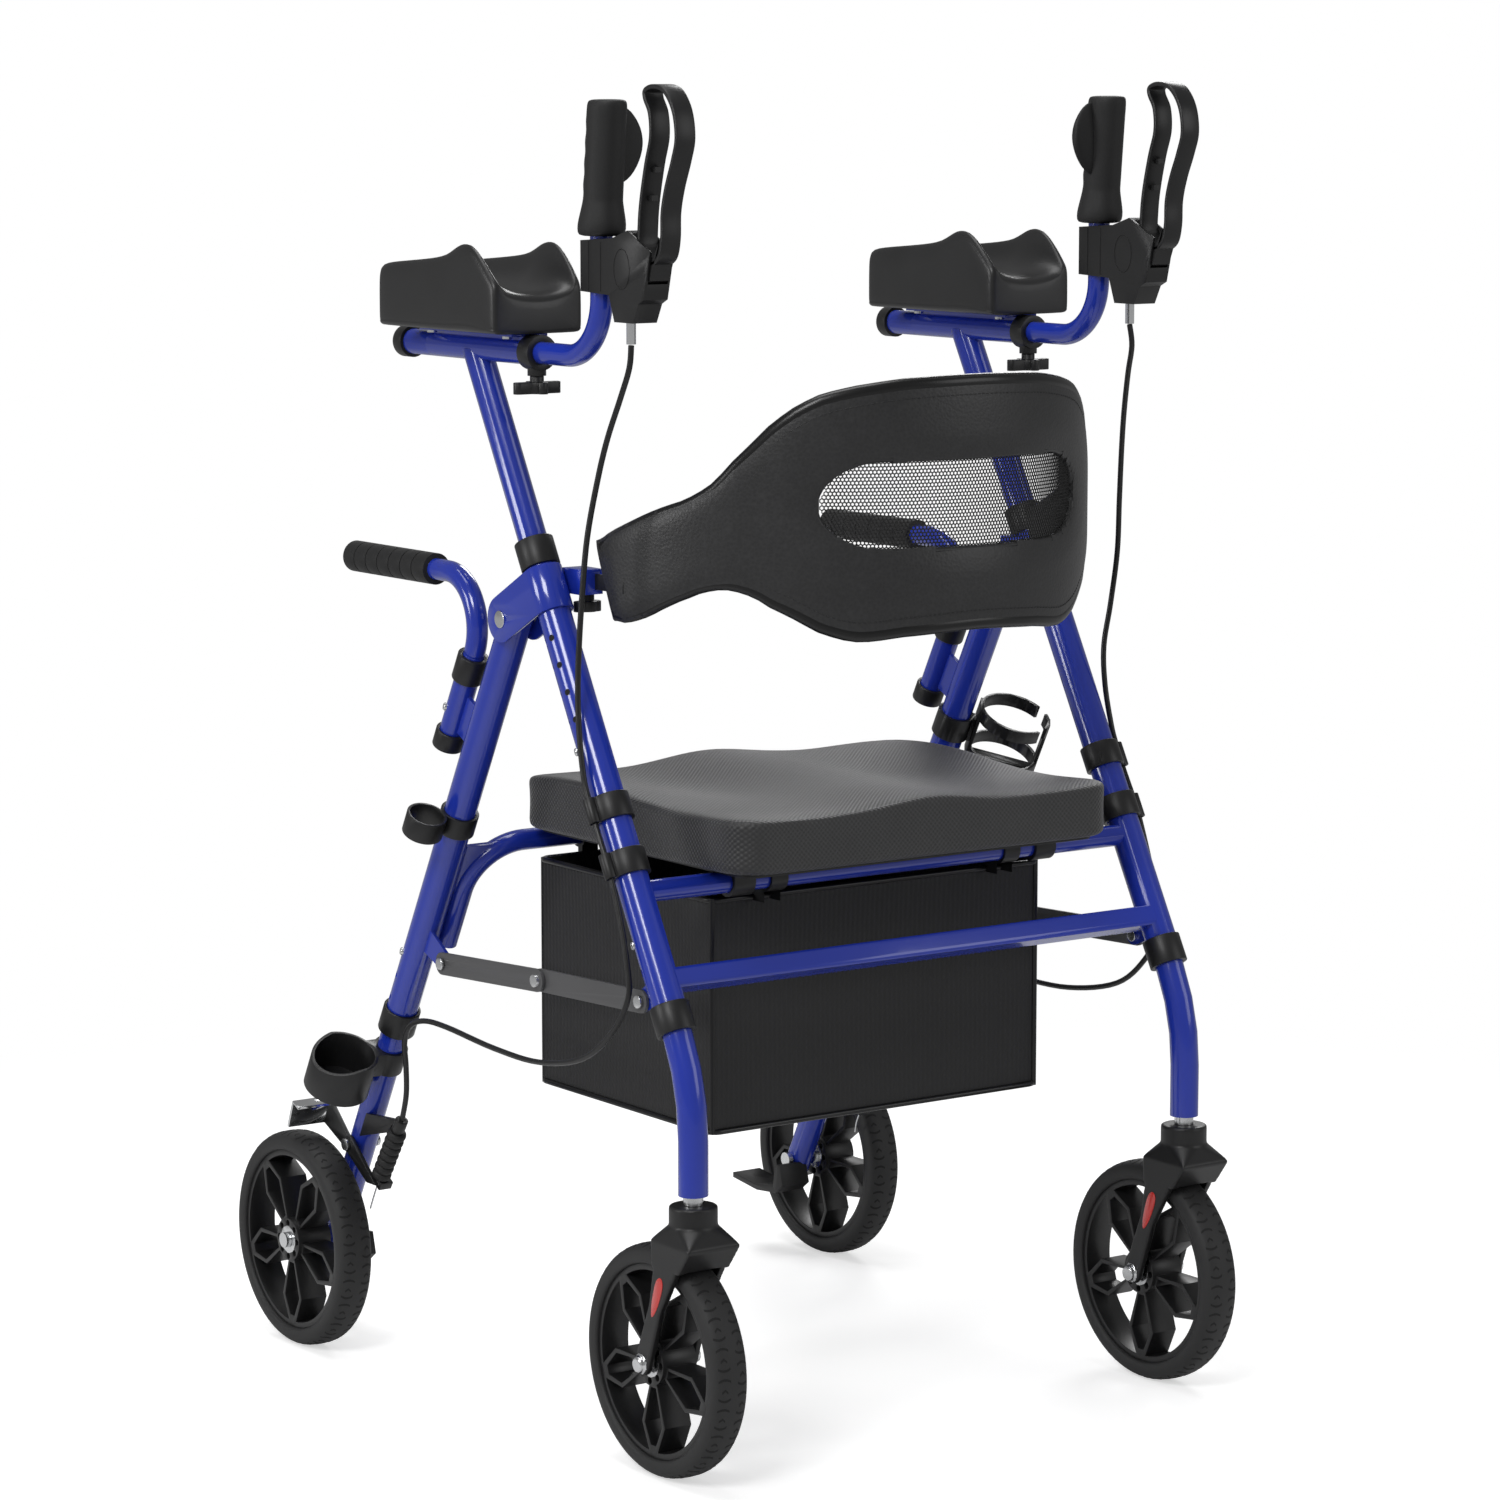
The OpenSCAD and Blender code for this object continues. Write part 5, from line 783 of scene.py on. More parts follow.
class WALKER_OT_mouldings(bpy.types.Operator):
    """Dress the plastic pieces: housings, levers, knobs, brakes, holders and the seat board"""
    bl_idname = "walker.mouldings"
    bl_label = "Mouldings"

    def execute(self, context):
        edge = context.scene.walker_sizes.edge
        for solid in ("cane_ring", "bottle_cage", "cane_cup", "seat_board", "backrest_bars"):
            dress(solid, "plastic", edge=edge)
        for side, sx in SIDES.items():
            x = sx * LEG_X
            dress("brake_mount_" + side, "plastic", [("steel", near(*BRAKE_PIVOT, 0.0056))], edge)
            boot = dress("brake_boot_" + side, "rubber")
            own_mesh(boot)
            dress("brake_arm_" + side, "plastic", [("chrome", lambda p: abs(p.x) > 0.28305)], edge * 0.7)
            dress("brake_housing_" + side, "plastic",
                  [("steel", lambda p: p.z < 0.9739 and math.hypot(p.x - x, p.y + 0.225) < 0.0042)], edge)
            self.lever(side, x)
            dress("clamp_knob_" + side, "plastic", edge=edge)
            self.housing_lines(side, x)
            self.tail_wire(side, sx * BRAKE_X)
        return {"FINISHED"}

    # Middle line of the lever's loop, and outline of its root: shares of its reach forward and of its height
    loop = [(0.36, 0.09), (0.47, 0.19), (0.49, 0.33), (0.61, 0.46), (0.81, 0.60), (0.93, 0.72), (0.84, 0.86),
            (0.56, 0.962), (0.20, 0.986), (-0.045, 0.966), (-0.055, 0.925), (0.10, 0.845), (0.13, 0.72),
            (-0.02, 0.58), (-0.17, 0.40), (-0.235, 0.26), (-0.22, 0.14), (0.06, 0.058)]
    root = [(0.20, 0.02), (0.40, 0.17), (0.26, 0.10), (0.06, 0.075), (-0.12, 0.10), (-0.20, 0.16), (-0.155, 0.02),
            (-0.11, -0.035), (0.0, -0.048), (0.12, -0.035)]

    def lever(self, side, x):
        """A brake lever: a flat strip bent into a long loop, with its root in the housing and two teeth inside"""
        reach, tall, wide, thick, rim = 0.046, 0.154, 0.0095, 0.0019, 0.0004

        def at(q, h, across=0.0):
            return Vector((x + across, LEVER_PIVOT[0] - q * reach, LEVER_PIVOT[1] + h * tall))

        corner = [(1, 0.55), (0.96, 0.9), (0.9, 1)]
        upper = corner + [(0, 1)] + [(-a, b) for a, b in corner[::-1]]
        section = upper + [(-a, -b) for a, b in upper]
        line = spline([at(q, h) for q, h in self.loop], 6, closed=True)
        rings = []
        for k, p in enumerate(line):
            t = (line[(k + 1) % len(line)] - line[k - 1]).normalized()
            n = Vector((0, -t.z, t.y))
            rings.append([p + Vector((wide * a, 0, 0)) + n * thick * b for a, b in section])
        parts = [loft(rings, close_path=True),
                 loft([[at(q, h, across) for q, h in self.root] for across in (-wide, rim - wide, wide - rim, wide)])]
        for q, h in ((-0.145, 0.40), (-0.03, 0.55)):
            tooth = at(q, h) - Vector((0, 0.0034, 0))
            parts.append(loft([[tooth + Vector((a * 0.003, b * 0.0026, c * 0.0022)) for a, b in CORNERS]
                               for c in (-1, 1)]))
        piece("brake_lever_loop_" + side, gather(parts), "plastic", "lever_" + side, "brake_lever_" + side, sharp=42)

    def housing_lines(self, side, x):
        """Fine joint lines on the flanks of the brake housing: a round cover and the clamp's halves"""
        line_r, half = 0.0004, 0.012
        parts = []
        for flank in (x - half, x + half):
            cover = [Vector((flank, -0.229 + 0.0115 * math.cos(a), 1.012 + 0.0165 * math.sin(a))) for a in turns(40)]
            parts.append(tube(cover, line_r, 6, closed=True))
            for y in (-0.1795, -0.1975):
                parts.append(tube([Vector((flank, y, z)) for z in (0.9925, 1.012, 1.0335)], line_r, 6))
        piece("housing_line_" + side, gather(parts), "groove", "handle_" + side)

    def tail_wire(self, side, x):
        """The brake wire's end below the boot"""
        path = spline([(x, 0.1795, 0.168), (x, 0.184, 0.161), (x, 0.190, 0.150), (x * 1.004, 0.194, 0.139)], 6)
        piece("brake_wire_" + side, tube(path, 0.0008, 8), "steel", "brake_arm_body_" + side)


class WALKER_OT_wheels(bpy.types.Operator):
    """Make the tyres with their tread, and dress the rims and the caster forks"""
    bl_idname = "walker.wheels"
    bl_label = "Wheels"

    # Half of the tyre's outline: radius, and distance from the middle
    tyre_half = [(0.0832, 0.0), (0.0832, 0.0140), (0.0838, 0.0158), (0.0856, 0.0167), (0.0895, 0.0170),
                 (0.0930, 0.0166), (0.0956, 0.0153), (0.0975, 0.0131), (0.0988, 0.0100), (0.0996, 0.0062),
                 (0.1000, 0.0)]

    def execute(self, context):
        sizes = context.scene.walker_sizes
        profile = self.tyre_half + [(r, -w) for r, w in self.tyre_half[-2:0:-1]]
        unit = self.tread_unit()
        for side, sx in SIDES.items():
            for end, axle in (("front", FRONT_AXLE), ("rear", REAR_AXLE)):
                at = (sx * axle[0], axle[1], axle[2])
                body = "%s_wheel_%s" % (end, side)
                piece("tyre_%s_%s" % (end, side), lathe(profile, at, 128, 0), "tyre", body,
                      "%s_tyre_%s" % (end, side), sharp=50)
                # The tread slits, repeated round the axle, in painted shade
                grow(line_object("tread_%s_%s" % (end, side)), axle_repeat_tree(), "groove", body, piece=unit,
                     count=sizes.tread_count, axle=at)
                hub = near(*at[1:], 0.01105)
                dress("%s_rim_%s" % (end, side), "rim",
                      [("steel", lambda p: hub(p) and abs(p.x - at[0]) > 0.0095)], sizes.edge, flat=False)
            self.fork(side)
            self.reflectors(side, sx)
        drop(unit)
        return {"FINISHED"}

    def fork(self, side):
        """A caster fork with soft moulded edges and bright axle ends"""
        ob = dress("caster_fork_" + side, "plastic", flat=False)
        modify(ob, "REMESH", mode="VOXEL", voxel_size=0.0012)
        modify(ob, "SMOOTH", factor=0.5, iterations=9)
        apply_modifiers(ob)
        me = ob.data
        me.materials.clear()
        for name in ("plastic", "steel"):
            me.materials.append(FINISH[name])
        for f in me.polygons:
            f.material_index = int(abs(abs(f.center.x) - LEG_X) > 0.0264)
        smooth(ob, 60)

    def surface(self, w):
        """Radius of the tyre at a distance from its middle"""
        half = self.tyre_half[::-1]
        w = abs(w)
        for (r0, w0), (r1, w1) in zip(half, half[1:]):
            if w0 <= w <= w1:
                return r0 + (r1 - r0) * (w - w0) / (w1 - w0)
        return half[-1][0]

    def tread_unit(self):
        """Slits of one tread repeat, as thin strips that follow the crown, darkened as painted shade"""
        middle, slit, sunk, proud = 0.0088, 0.00125, 0.0006, 0.0002
        strips = []
        for flip, turn in ((1, 0.0), (-1, 7.5)):
            for a0, bend in ((0.0, -1), (4.2, 1)):
                strips.append([(flip * w, turn + a0 + bend * 1.1 * ((w - middle) / 0.0052) ** 2)
                               for w in (0.0036, 0.0052, 0.0075, 0.0100, 0.0122, 0.0140)])
            strips.append([(flip * w, turn + 9.3 + abs(w - middle) * 520) for w in
                           (0.0062, 0.0075, 0.0088, 0.0101, 0.0114)])
        parts = []
        for strip in strips:
            rings = []
            for w, deg in strip:
                r, a = self.surface(w), math.radians(deg)
                da = slit / r
                rings.append([Vector((w, q * math.cos(b), q * math.sin(b))) for q, b in
                              ((r - sunk, a - da), (r + proud, a - da * 0.8), (r + proud, a + da * 0.8),
                               (r - sunk, a + da))])
            parts.append(loft(rings))
        return new_object("tread_unit", gather(parts), 30)

    def reflectors(self, side, sx):
        """Red inlays in the outer flanks of a fork's blades"""
        top, low = Vector((CASTER_Y + 0.006, 0.190)), Vector((CASTER_Y + 0.040, 0.100))
        mid = top + 0.31 * (low - top)
        d = (low - top).normalized()
        n = Vector((-d.y, d.x))
        outline = []
        for a in turns(28):
            c, s = math.cos(a), math.sin(a)
            outline.append(d * (0.0190 * math.copysign(abs(c) ** 0.8, c)) + n * (0.0052 * s * (1.0 - 0.35 * c)))
        parts = [loft([[Vector((sx * LEG_X + flank * (0.0261 + out), *(mid + p * share))) for p in outline]
                       for share, out in ((1.0, -0.0012), (1.0, 0.0003), (0.86, 0.0007))]) for flank in (-1, 1)]
        piece("reflectors_" + side, gather(parts), "red", "caster_" + side, sharp=30)


class WALKER_OT_arms(bpy.types.Operator):
    """Make the forearm pads and the hand grips"""
    bl_idname = "walker.arms"
    bl_label = "Arms"

    # Stations of a pad: share of the length from the rear, height of the rim as a share, half width as a share
    stations = [(0.000, 0.60, 0.90), (0.006, 0.66, 0.955), (0.03, 0.715, 0.985), (0.12, 0.745, 1.0),
                (0.25, 0.77, 1.0), (0.40, 0.80, 1.0), (0.50, 0.825, 1.0), (0.59, 0.86, 1.0), (0.66, 0.94, 1.0),
                (0.71, 0.99, 1.0), (0.76, 1.0, 1.0), (0.81, 0.98, 1.0), (0.86, 0.90, 0.995), (0.92, 0.76, 0.985),
                (0.965, 0.64, 0.97), (0.985, 0.59, 0.955), (0.996, 0.545, 0.93), (1.0, 0.50, 0.89)]
    # A pad's flank from the underside to the rim: share of the half width and of the rim's height
    flank = [(0.80, 0.0), (0.93, 0.012), (0.985, 0.05), (1.0, 0.085), (0.986, 0.098), (1.0, 0.112), (1.0, 0.36),
             (1.0, 0.60), (0.995, 0.80), (0.985, 0.905), (0.955, 0.972), (0.905, 1.0), (0.855, 0.985)]
    # A grip's rows below and above the finger hollows: height and radius
    grip_foot = [(0.0, 0.0175), (0.003, 0.0198), (0.010, 0.0202), (0.018, 0.0186), (0.026, 0.0171)]
    grip_head = [(0.099, 0.0166), (0.1045, 0.0166), (0.1085, 0.0164), (0.1113, 0.0157), (0.1126, 0.0140),
                 (0.1130, 0.0070)]
    # A grip's palm rest: distance inwards, lower and upper edge
    palm = [(0.0357, 0.072, 0.082), (0.0352, 0.068, 0.087), (0.0330, 0.061, 0.093), (0.0285, 0.053, 0.100),
            (0.022, 0.046, 0.1065), (0.012, 0.041, 0.1095), (0.003, 0.040, 0.1095)]

    def execute(self, context):
        for side, sx in SIDES.items():
            self.pad(side, sx)
            self.sleeve(side, sx)
            self.grip(side, sx)
        return {"FINISHED"}

    def pad(self, side, sx):
        """A moulded pad with a trough that runs out at both ends"""
        rear, front, low, peak, floor, wide, trough_n = 0.104, -0.084, 0.952, 0.076, 0.033, 0.047, 13
        rings = []
        for s, h, w in self.stations:
            y = rear + s * (front - rear)
            rim, half = peak * h, wide * w
            dip = floor * (1 - 0.24 * max(0.0, (abs(s - 0.5) - 0.465) / 0.035) ** 2)
            outer = [(-half * a, rim * b) for a, b in self.flank]
            trough = [(-math.cos(a) * half * 0.83, rim - (rim - dip) * math.sin(a) ** 0.85)
                      for a in [math.pi * k / (trough_n + 1) for k in range(1, trough_n + 1)]]
            ring = outer + trough + [(-a, b) for a, b in outer[::-1]]
            rings.append([Vector((sx * LEG_X + a, y, low + b)) for a, b in ring])
        verts, faces = loft(rings, caps=False)
        # End faces in strips between the outer edge and the trough
        n, m, o = len(rings[0]), len(rings), len(self.flank)
        hull = list(range(o - 1, -1, -1)) + list(range(n - 1, n - 1 - o, -1))
        for end in (0, (m - 1) * n):
            for j in range(2 * o - 1):
                a, b = (o + round(k * (trough_n - 1) / (2 * o - 1)) for k in (j, j + 1))
                quad = (hull[j], hull[j + 1], b, a) if a != b else (hull[j], hull[j + 1], a)
                faces.append(tuple(end + k for k in quad))
        ob = new_object("forearm_pad_" + side + "_skin", (verts, faces), 180)
        subdivide(ob)
        settle(ob, "skin", "arm_" + side, "forearm_pad_" + side)

    def sleeve(self, side, sx):
        """The forearm tube's wall beside the pad's plate"""
        front, rear, outer, inner = -0.0745, 0.0815, 0.01115, 0.0102
        wall = lathe([(inner, front), (outer, front), (outer, rear), (inner, rear)], (sx * LEG_X, 0, FOREARM_Z), 64, 1)
        piece("forearm_sleeve_" + side, wall, "paint", "arm_" + side)

    def grip(self, side, sx):
        """A hand grip with finger hollows, a rolled lower edge, a top cap and a palm rest"""
        base, tall, lean, waves, steps = 1.037, 0.113, -0.010, 4, 20
        rows = [(h, r, 0) for h, r in self.grip_foot]
        rows += [(0.026 + 0.070 * k / steps, 0.0165, 0.0009 * math.cos(2 * math.pi * waves * k / steps))
                 for k in range(1, steps + 1)]
        rows += [(h, r, 0) for h, r in self.grip_head]
        rings = []
        for h, r, hollow in rows:
            ring = []
            for a in turns(32):
                q = r + hollow * max(0.0, math.sin(a) - 0.2)
                ring.append(Vector((sx * LEG_X + q * math.cos(a), GRIP_Y + lean * h / tall + 1.06 * q * math.sin(a),
                                    base + h)))
            rings.append(ring)
        palm = []
        for x, low, high in self.palm:
            mid, half = (low + high) / 2, (high - low) / 2
            thick = 0.0042 * min(1.0, 0.35 + half * 40)
            palm.append([Vector((sx * (LEG_X - x), GRIP_Y + lean * mid / tall + thick * math.sin(a),
                                 base + mid + half * math.cos(a))) for a in turns(24)])
        ob = new_object("grip_" + side, gather([loft(rings), loft(palm)]), 50)
        subdivide(ob)
        settle(ob, "rubber", "handle_" + side, "hand_grip_" + side)


class WALKER_OT_seat(bpy.types.Operator):
    """Make the cushion and the basket"""
    bl_idname = "walker.seat"
    bl_label = "Seat and basket"

    # Rows of the cushion's side: share of its width, and share of its height
    cushion_side = [(0.955, 0.0), (0.985, 0.02), (0.998, 0.08), (1.0, 0.16), (0.998, 0.34), (0.997, 0.5),
                    (0.998, 0.70), (1.0, 0.84), (0.999, 0.90), (0.996, 0.945), (0.989, 0.978), (0.979, 0.995),
                    (0.965, 1.0)]

    def execute(self, context):
        self.cushion()
        self.basket()
        return {"FINISHED"}

    def top(self, u, v):
        """Height of the cushion above its underside, at shares across and along it"""
        ridge = math.exp(-(u / 0.32) ** 2) * (0.7 - 0.3 * math.cos(math.pi * v))
        sides = abs(u) ** 4 * (1 + math.cos(math.radians(200) * (v - 0.48))) / 2
        wells = math.exp(-((abs(u) - 0.48) / 0.25) ** 2 - ((v - 0.2) / 0.5) ** 2)
        return 0.043 + 0.009 * (ridge + sides - 0.55 * wells)

    def cushion(self):
        half_x, half_y, corner, low, rows_in = 0.203, 0.1755, 0.032, 0.5053, 16
        mid_y = -0.294 + half_y
        edge = rounded_box(half_x, half_y, corner, 8, 18)
        rows = self.cushion_side + [(0.965 * (1 - k / rows_in), 1.0) for k in range(1, rows_in)]
        rings = [[Vector((s * x, mid_y + s * y, low + h * self.top(s * x / half_x, s * y / half_y)))
                  for x, y in edge] for s, h in rows]
        n = len(edge)
        verts, faces = loft(rings, caps=False)
        verts += [Vector((0, mid_y, low + self.top(0, 0))), Vector((0, mid_y, low))]
        last = (len(rows) - 1) * n
        faces += [(last + j, last + (j + 1) % n, len(verts) - 2) for j in range(n)]
        faces += [((j + 1) % n, j, len(verts) - 1) for j in range(n)]
        ob = new_object("seat_cushion_cover", (verts, faces), 180)
        self.swell(ob)
        subdivide(ob)
        settle(ob, "seat", "seat", "seat_cushion")

    def swell(self, ob):
        """Blows the cover up a little as cloth, held at its underside, and caps how far it moves"""
        held_z, last_frame, most = 0.510, 12, 0.002
        rest = [v.co.copy() for v in ob.data.vertices]
        group = ob.vertex_groups.new(name="held")
        group.add([k for k, c in enumerate(rest) if c.z < held_z], 1.0, "REPLACE")
        s = modify(ob, "CLOTH").settings
        s.quality = 4
        s.mass = 0.3
        s.tension_stiffness = s.compression_stiffness = 40
        s.shear_stiffness = s.bending_stiffness = 20
        s.use_pressure = True
        s.uniform_pressure_force = 2.0
        s.vertex_group_mass = "held"
        s.effector_weights.gravity = 0
        scene = bpy.context.scene
        for f in range(1, last_frame + 1):
            scene.frame_set(f)
        deps = bpy.context.evaluated_depsgraph_get()
        moved = [v.co.copy() for v in ob.evaluated_get(deps).data.vertices]
        ob.modifiers.clear()
        ob.vertex_groups.clear()
        scene.frame_set(1)
        for v, a, b in zip(ob.data.vertices, rest, moved):
            d = b - a
            v.co = a + (d if d.length <= most else d.normalized() * most)

    def basket(self):
        """An open bag of stiff cloth with bound edges, hung by straps"""
        half, y0, y1, z0, z1, steps, rows = 0.178, -0.213, 0.056, 0.270, 0.475, 14, 12
        skin, cloth, sag_most, thick = 0.0005, 0.0028, 0.0035, 0.0024
        mid_y, deep = (y0 + y1) / 2, (y1 - y0) / 2

        def ring(z, inset):
            t = (z - z0) / (z1 - z0)
            sag = sag_most * math.sin(math.pi * t) ** 0.8
            out = []
            for (ax, ay), (bx, by) in zip(CORNERS[-1:] + CORNERS[:-1], CORNERS):
                a = Vector((ax * (half - inset), mid_y + ay * (deep - inset), z))
                b = Vector((bx * (half - inset), mid_y + by * (deep - inset), z))
                inward = Vector((-(ax + bx) / 2, -(ay + by) / 2, 0))
                for share in [k / steps * 0.986 + 0.007 for k in range(steps)]:
                    out.append(a.lerp(b, share) + inward * sag * math.sin(math.pi * share))
            return out

        def floor(points, z, shares):
            middle = Vector((0, mid_y, z))
            return [[(p - middle) * share + middle for p in points] for share in shares]

        heights = [z0 + (z1 - z0) * k / rows for k in range(rows + 1)]
        outer = [ring(z, skin) for z in heights]
        inner = [ring(z, cloth) for z in heights[::-1]]
        inner[-1] = [p + Vector((0, 0, thick)) for p in inner[-1]]
        shares = (0.25, 0.6, 0.97)
        rings = floor(outer[0], z0, shares) + outer + inner + floor(inner[-1], z0 + thick, shares[::-1])
        bag = piece("basket_cloth", loft(rings), "cloth", None, "basket")
        hem = self.hem(half, mid_y, deep, z0, z1)
        straps = dress("basket", "plastic", keep=lambda p: p.z > 0.4755, name="basket_straps", ride=False)
        for ob in (bag, hem, straps):
            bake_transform(ob)

    def hem(self, half, mid_y, deep, z0, z1):
        """Bound edges along the rim, the floor and the corners of the basket"""
        r, corner, inset = 0.0026, 0.010, 0.0025
        parts = []
        for z in (z0 + 0.0018, z1 - 0.0016):
            path = [Vector((x, mid_y + y, z)) for x, y in rounded_box(half, deep, corner, 6, 12)]
            parts.append(tube(path, r, 8, closed=True, up=(0, 0, 1)))
        for cx, cy in CORNERS:
            parts.append(tube([Vector((cx * (half - inset), mid_y + cy * (deep - inset), z0 + (z1 - z0) * k / 10))
                               for k in range(11)], r, 8))
        return piece("basket_binding", gather(parts), "binding", None, sharp=60)


# The back band's edges: share of a quarter turn from the middle, and upper and lower edge in shares of half its height
BAND_EDGE = [
    (0.00, 1.00, -1.00), (0.19, 0.98, -1.03), (0.30, 0.93, -1.06), (0.38, 0.865, -0.99), (0.44, 0.76, -0.88),
    (0.49, 0.63, -0.80), (0.53, 0.49, -0.72), (0.58, 0.33, -0.67), (0.62, 0.18, -0.66), (0.67, 0.07, -0.69),
    (0.71, 0.005, -0.74), (0.78, -0.075, -0.83), (0.84, -0.16, -0.915), (0.91, -0.26, -0.97), (0.97, -0.35, -0.98),
]
BAND_SPAN = 0.97
BAND_R, BAND_Y, BAND_Z, BAND_H, BAND_T = 0.240, -0.115, 0.815, 0.212, 0.014
BAND_MIDDLE = BAND_R - BAND_T / 2
WINDOW_W, WINDOW_H, WINDOW_END = 0.278, 0.075, 0.050
WINDOW_FLAT = WINDOW_W / 2 - WINDOW_END


def band_edge(g, col):
    """Height of an edge of the band, smoothly read from its table"""
    f, t = abs(g), BAND_EDGE
    i = max(k for k in range(len(t) - 1) if t[k][0] <= f or k == 0)
    s = (f - t[i][0]) / (t[i + 1][0] - t[i][0])
    a, b, c, d = (t[max(0, min(k, len(t) - 1))][col] for k in range(i - 1, i + 3))
    m0 = (c - a) / 2 if i else 0.0
    m1 = (d - b) / 2
    h = ((2 * s ** 3 - 3 * s ** 2 + 1) * b + (s ** 3 - 2 * s ** 2 + s) * m0
         + (-2 * s ** 3 + 3 * s ** 2) * c + (s ** 3 - s ** 2) * m1)
    return BAND_Z + BAND_H / 2 * h


def band_point(g, v, r):
    """A point of the band: share of the quarter turn, share of the height and radius"""
    top, low = band_edge(g, 1), band_edge(g, 2)
    lean = 7 * abs(g) ** 6 * math.copysign(1, g)
    a = math.radians(90 * g + lean * (v - 1) / 2)
    return Vector((r * math.sin(a), BAND_Y - r * math.cos(a), (top + low) / 2 + v * (top - low) / 2))


def band_rope(points, thick, wide, sides):
    """An oval cord along a closed line on the band"""
    rings = []
    for k, p in enumerate(points):
        t = (points[(k + 1) % len(points)] - points[k - 1]).normalized()
        out = Vector((p.x, p.y - BAND_Y, 0)).normalized()
        w = t.cross(out).normalized()
        rings.append([p + thick * math.cos(a) * out + wide * math.sin(a) * w for a in turns(sides)])
    return loft(rings, close_path=True)


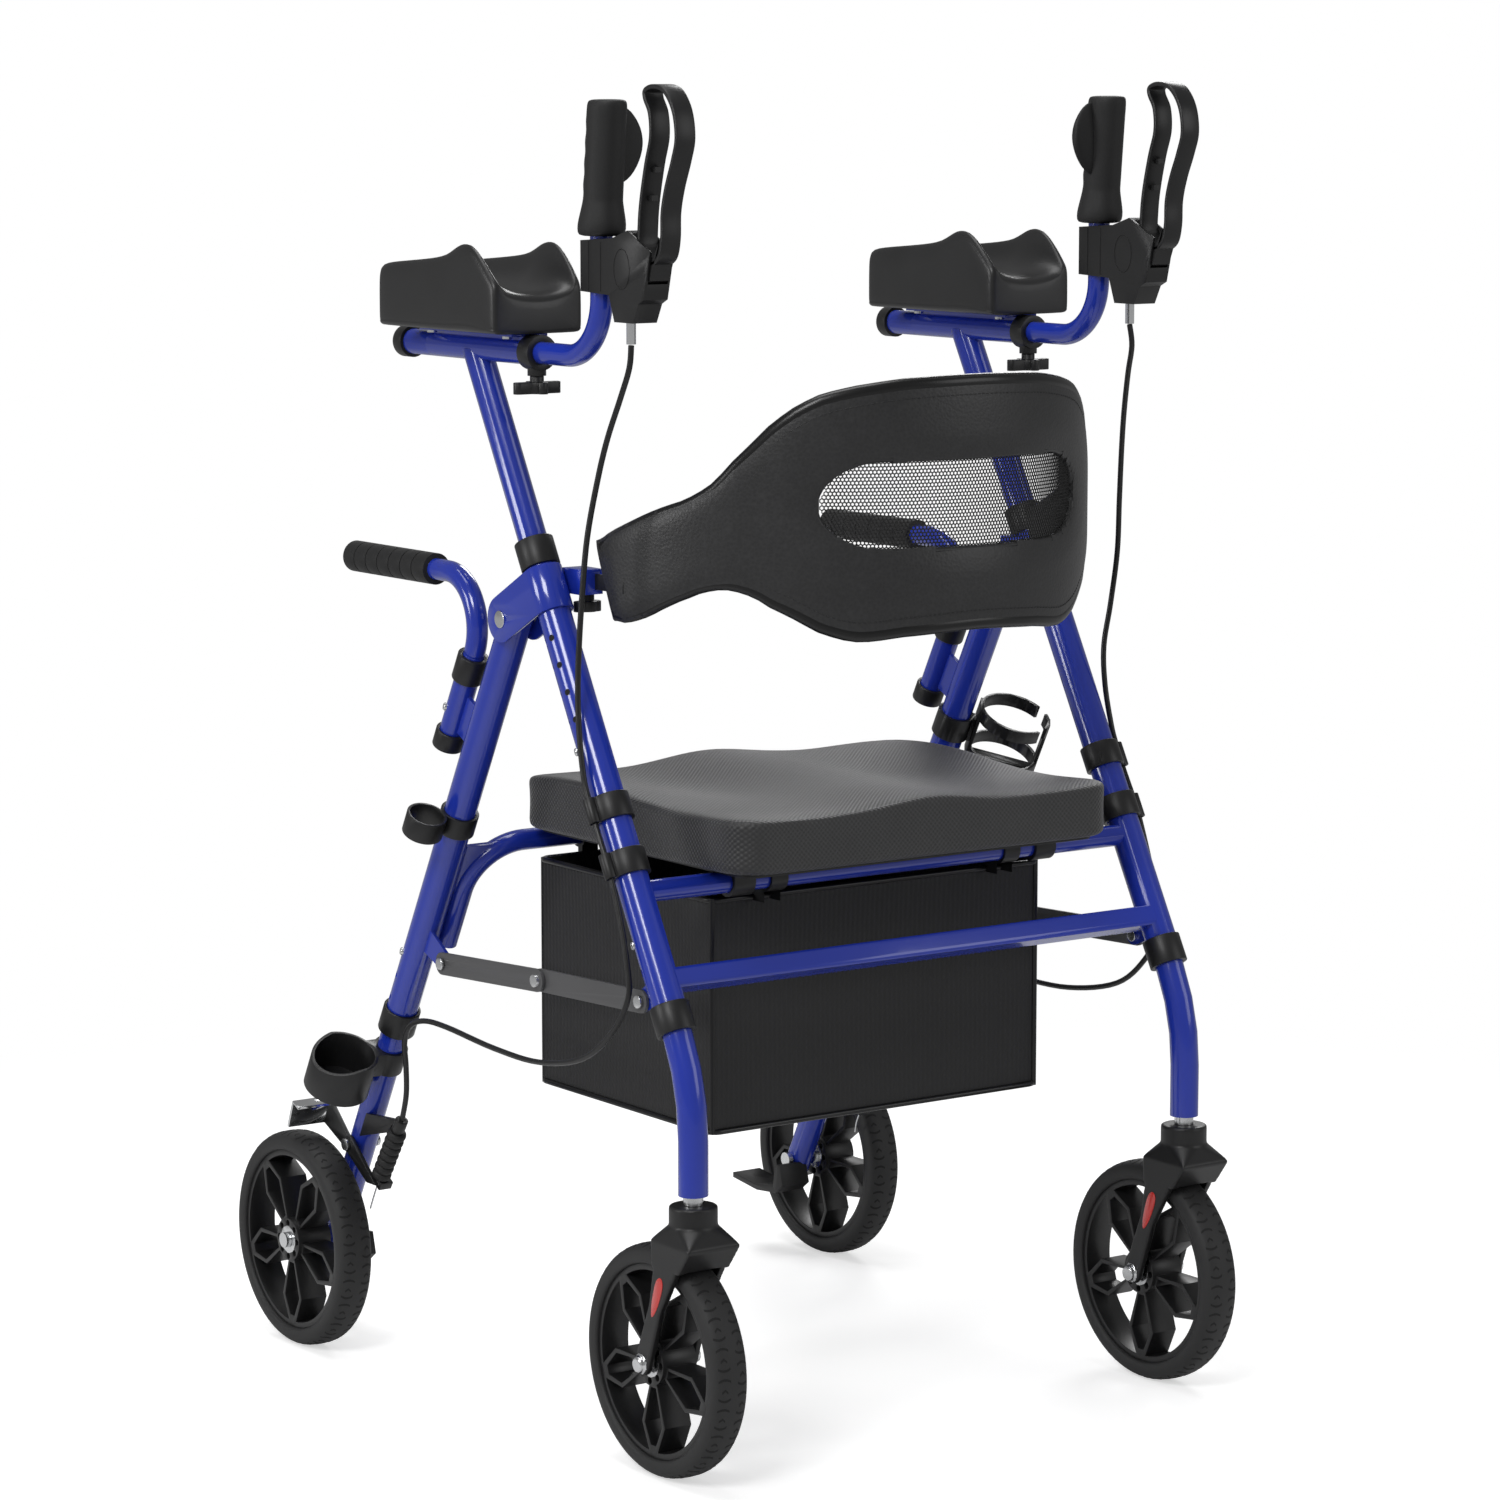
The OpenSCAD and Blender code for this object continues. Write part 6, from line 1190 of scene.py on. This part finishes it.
class WALKER_OT_back(bpy.types.Operator):
    """Make the padded back band with its net window, bound edge and seams"""
    bl_idname = "walker.back"
    bl_label = "Back band"

    def execute(self, context):
        sizes = context.scene.walker_sizes
        self.band()
        self.edge(sizes.piping)
        self.window(sizes)
        return {"FINISHED"}

    def outline(self, inset, r):
        """The band's edge drawn in by a distance, at a radius"""
        n = 70
        span = BAND_SPAN - inset / (BAND_R * math.pi / 2)
        along = [-span + 2 * span * k / n for k in range(n + 1)]
        upper = [(g, 1 - 2 * inset / (band_edge(g, 1) - band_edge(g, 2))) for g in along]
        lower = [(g, -v) for g, v in upper[::-1]]
        ends = [0.6, 0.2, -0.2, -0.6]
        return [band_point(g, v, r) for g, v in
                upper + [(span, v) for v in ends] + lower + [(-span, -v) for v in ends]]

    def in_window(self, g, z):
        """Distance outside the window, negative within it"""
        x = BAND_R * math.sin(math.radians(90 * g))
        past = max(abs(x) - WINDOW_FLAT, 0.0) * WINDOW_H / 2 / WINDOW_END
        return math.hypot(past, z - BAND_Z) - WINDOW_H / 2

    def band(self):
        """Two puffed faces with a hole for the window, joined along every open edge"""
        cols, rows = 150, 44
        verts, grid = [], {}
        for face in (1, -1):
            for i in range(cols + 1):
                g = BAND_SPAN * (-1 + 2 * i / cols)
                for j in range(rows + 1):
                    v = -1 + 2 * j / rows
                    hole = self.in_window(g, band_point(g, v, 1.0).z)
                    puff = (1 - abs(v) ** 6) * min(1.0, max(0.0, hole) / 0.02) ** 0.5
                    ends = min(1.0, (BAND_SPAN - abs(g)) / 0.05)
                    t = BAND_T / 2 * (0.5 + 0.5 * puff * (0.4 + 0.6 * ends))
                    grid[face, i, j] = len(verts)
                    verts.append(band_point(g, v, BAND_MIDDLE + face * t))
        faces, sides = [], {}
        for i in range(cols):
            for j in range(rows):
                g = BAND_SPAN * (-1 + 2 * (i + 0.5) / cols)
                if self.in_window(g, band_point(g, -1 + 2 * (j + 0.5) / rows, 1.0).z) < 0:
                    continue
                quad = [(i, j), (i + 1, j), (i + 1, j + 1), (i, j + 1)]
                faces.append(tuple(grid[(1,) + q] for q in quad))
                faces.append(tuple(grid[(-1,) + q] for q in quad[::-1]))
                for a, b in zip(quad, quad[1:] + quad[:1]):
                    key = frozenset((a, b))
                    sides[key] = None if key in sides else (a, b)
        for a, b in filter(None, sides.values()):
            faces.append((grid[(1,) + b], grid[(1,) + a], grid[(-1,) + a], grid[(-1,) + b]))
        used = sorted({k for f in faces for k in f})
        order = {k: n for n, k in enumerate(used)}
        ob = new_object("back_band_cover", ([verts[k] for k in used], [tuple(order[k] for k in f) for f in faces]), 50)
        settle(ob, "band", "backrest", "backrest_pad")

    def edge(self, r):
        rope = band_rope(self.outline(0.0052, BAND_MIDDLE), r * 1.12, r * 1.5, 16)
        piece("back_band_binding", rope, "binding", "backrest", sharp=60)
        stitches("back_band_seam", self.outline(0.0150, BAND_R - 0.0012), "backrest")

    def stadium(self, more, r):
        """The window's outline, wider by a distance and at a radius, in steps of about 6 mm"""
        corners = []
        for flip, a0 in ((1, -90), (-1, 90)):
            for a in [math.radians(a0 + 180 * k / 24) for k in range(25)]:
                corners.append((flip * WINDOW_FLAT + (WINDOW_END + more) * math.cos(a),
                                (WINDOW_H / 2 + more) * math.sin(a)))
        out = []
        for (x0, z0), (x1, z1) in zip(corners, corners[1:] + corners[:1]):
            steps = max(1, round(math.hypot(x1 - x0, z1 - z0) / 0.006))
            for share in [k / steps for k in range(steps)]:
                a = math.asin((x0 + (x1 - x0) * share) / BAND_R)
                out.append(Vector((r * math.sin(a), BAND_Y - r * math.cos(a), BAND_Z + z0 + (z1 - z0) * share)))
        return out

    def window(self, sizes):
        rope = band_rope(self.stadium(0.0015, BAND_MIDDLE), 0.0043, 0.0030, 12)
        piece("window_hem", rope, "band", "backrest", sharp=60)
        stitches("window_seam", self.stadium(0.0065, BAND_R - 0.0028), "backrest")
        grow(line_object("window_net"), net_tree(), "net", "backrest", width=WINDOW_W + 0.002,
             height=WINDOW_H + 0.002, pitch=sizes.net_pitch, thread=0.00068, radius=BAND_MIDDLE,
             centre=(0, BAND_Y, BAND_Z))


class WALKER_PT_panel(bpy.types.Panel):
    """Lists the walker's sizes, colours and the steps that make its pieces"""
    bl_label = "Upright walker"
    bl_idname = "WALKER_PT_panel"
    bl_space_type = "VIEW_3D"
    bl_region_type = "UI"
    bl_category = "Walker"

    def draw(self, context):
        for group in (context.scene.walker_sizes, context.scene.walker_finish):
            for name in group.bl_rna.properties.keys():
                if name not in ("rna_type", "name"):
                    self.layout.prop(group, name)
        for op in OPERATORS:
            self.layout.operator(op.bl_idname)


OPERATORS = [WALKER_OT_stage, WALKER_OT_cables, WALKER_OT_frame, WALKER_OT_mouldings, WALKER_OT_wheels,
             WALKER_OT_arms, WALKER_OT_seat, WALKER_OT_back]
CLASSES = [WalkerFinish, WalkerSizes, *OPERATORS, WALKER_PT_panel]


def register():
    for c in CLASSES:
        bpy.utils.register_class(c)
    bpy.types.Scene.walker_finish = PointerProperty(type=WalkerFinish)
    bpy.types.Scene.walker_sizes = PointerProperty(type=WalkerSizes)


def unregister():
    del bpy.types.Scene.walker_sizes
    del bpy.types.Scene.walker_finish
    for c in reversed(CLASSES):
        bpy.utils.unregister_class(c)


def main():
    register()
    make_finishes()
    bpy.ops.walker.stage()
    bpy.ops.walker.cables()
    bpy.ops.walker.frame()
    bpy.ops.walker.mouldings()
    bpy.ops.walker.wheels()
    bpy.ops.walker.arms()
    bpy.ops.walker.seat()
    bpy.ops.walker.back()


if __name__ == "__main__":
    main()
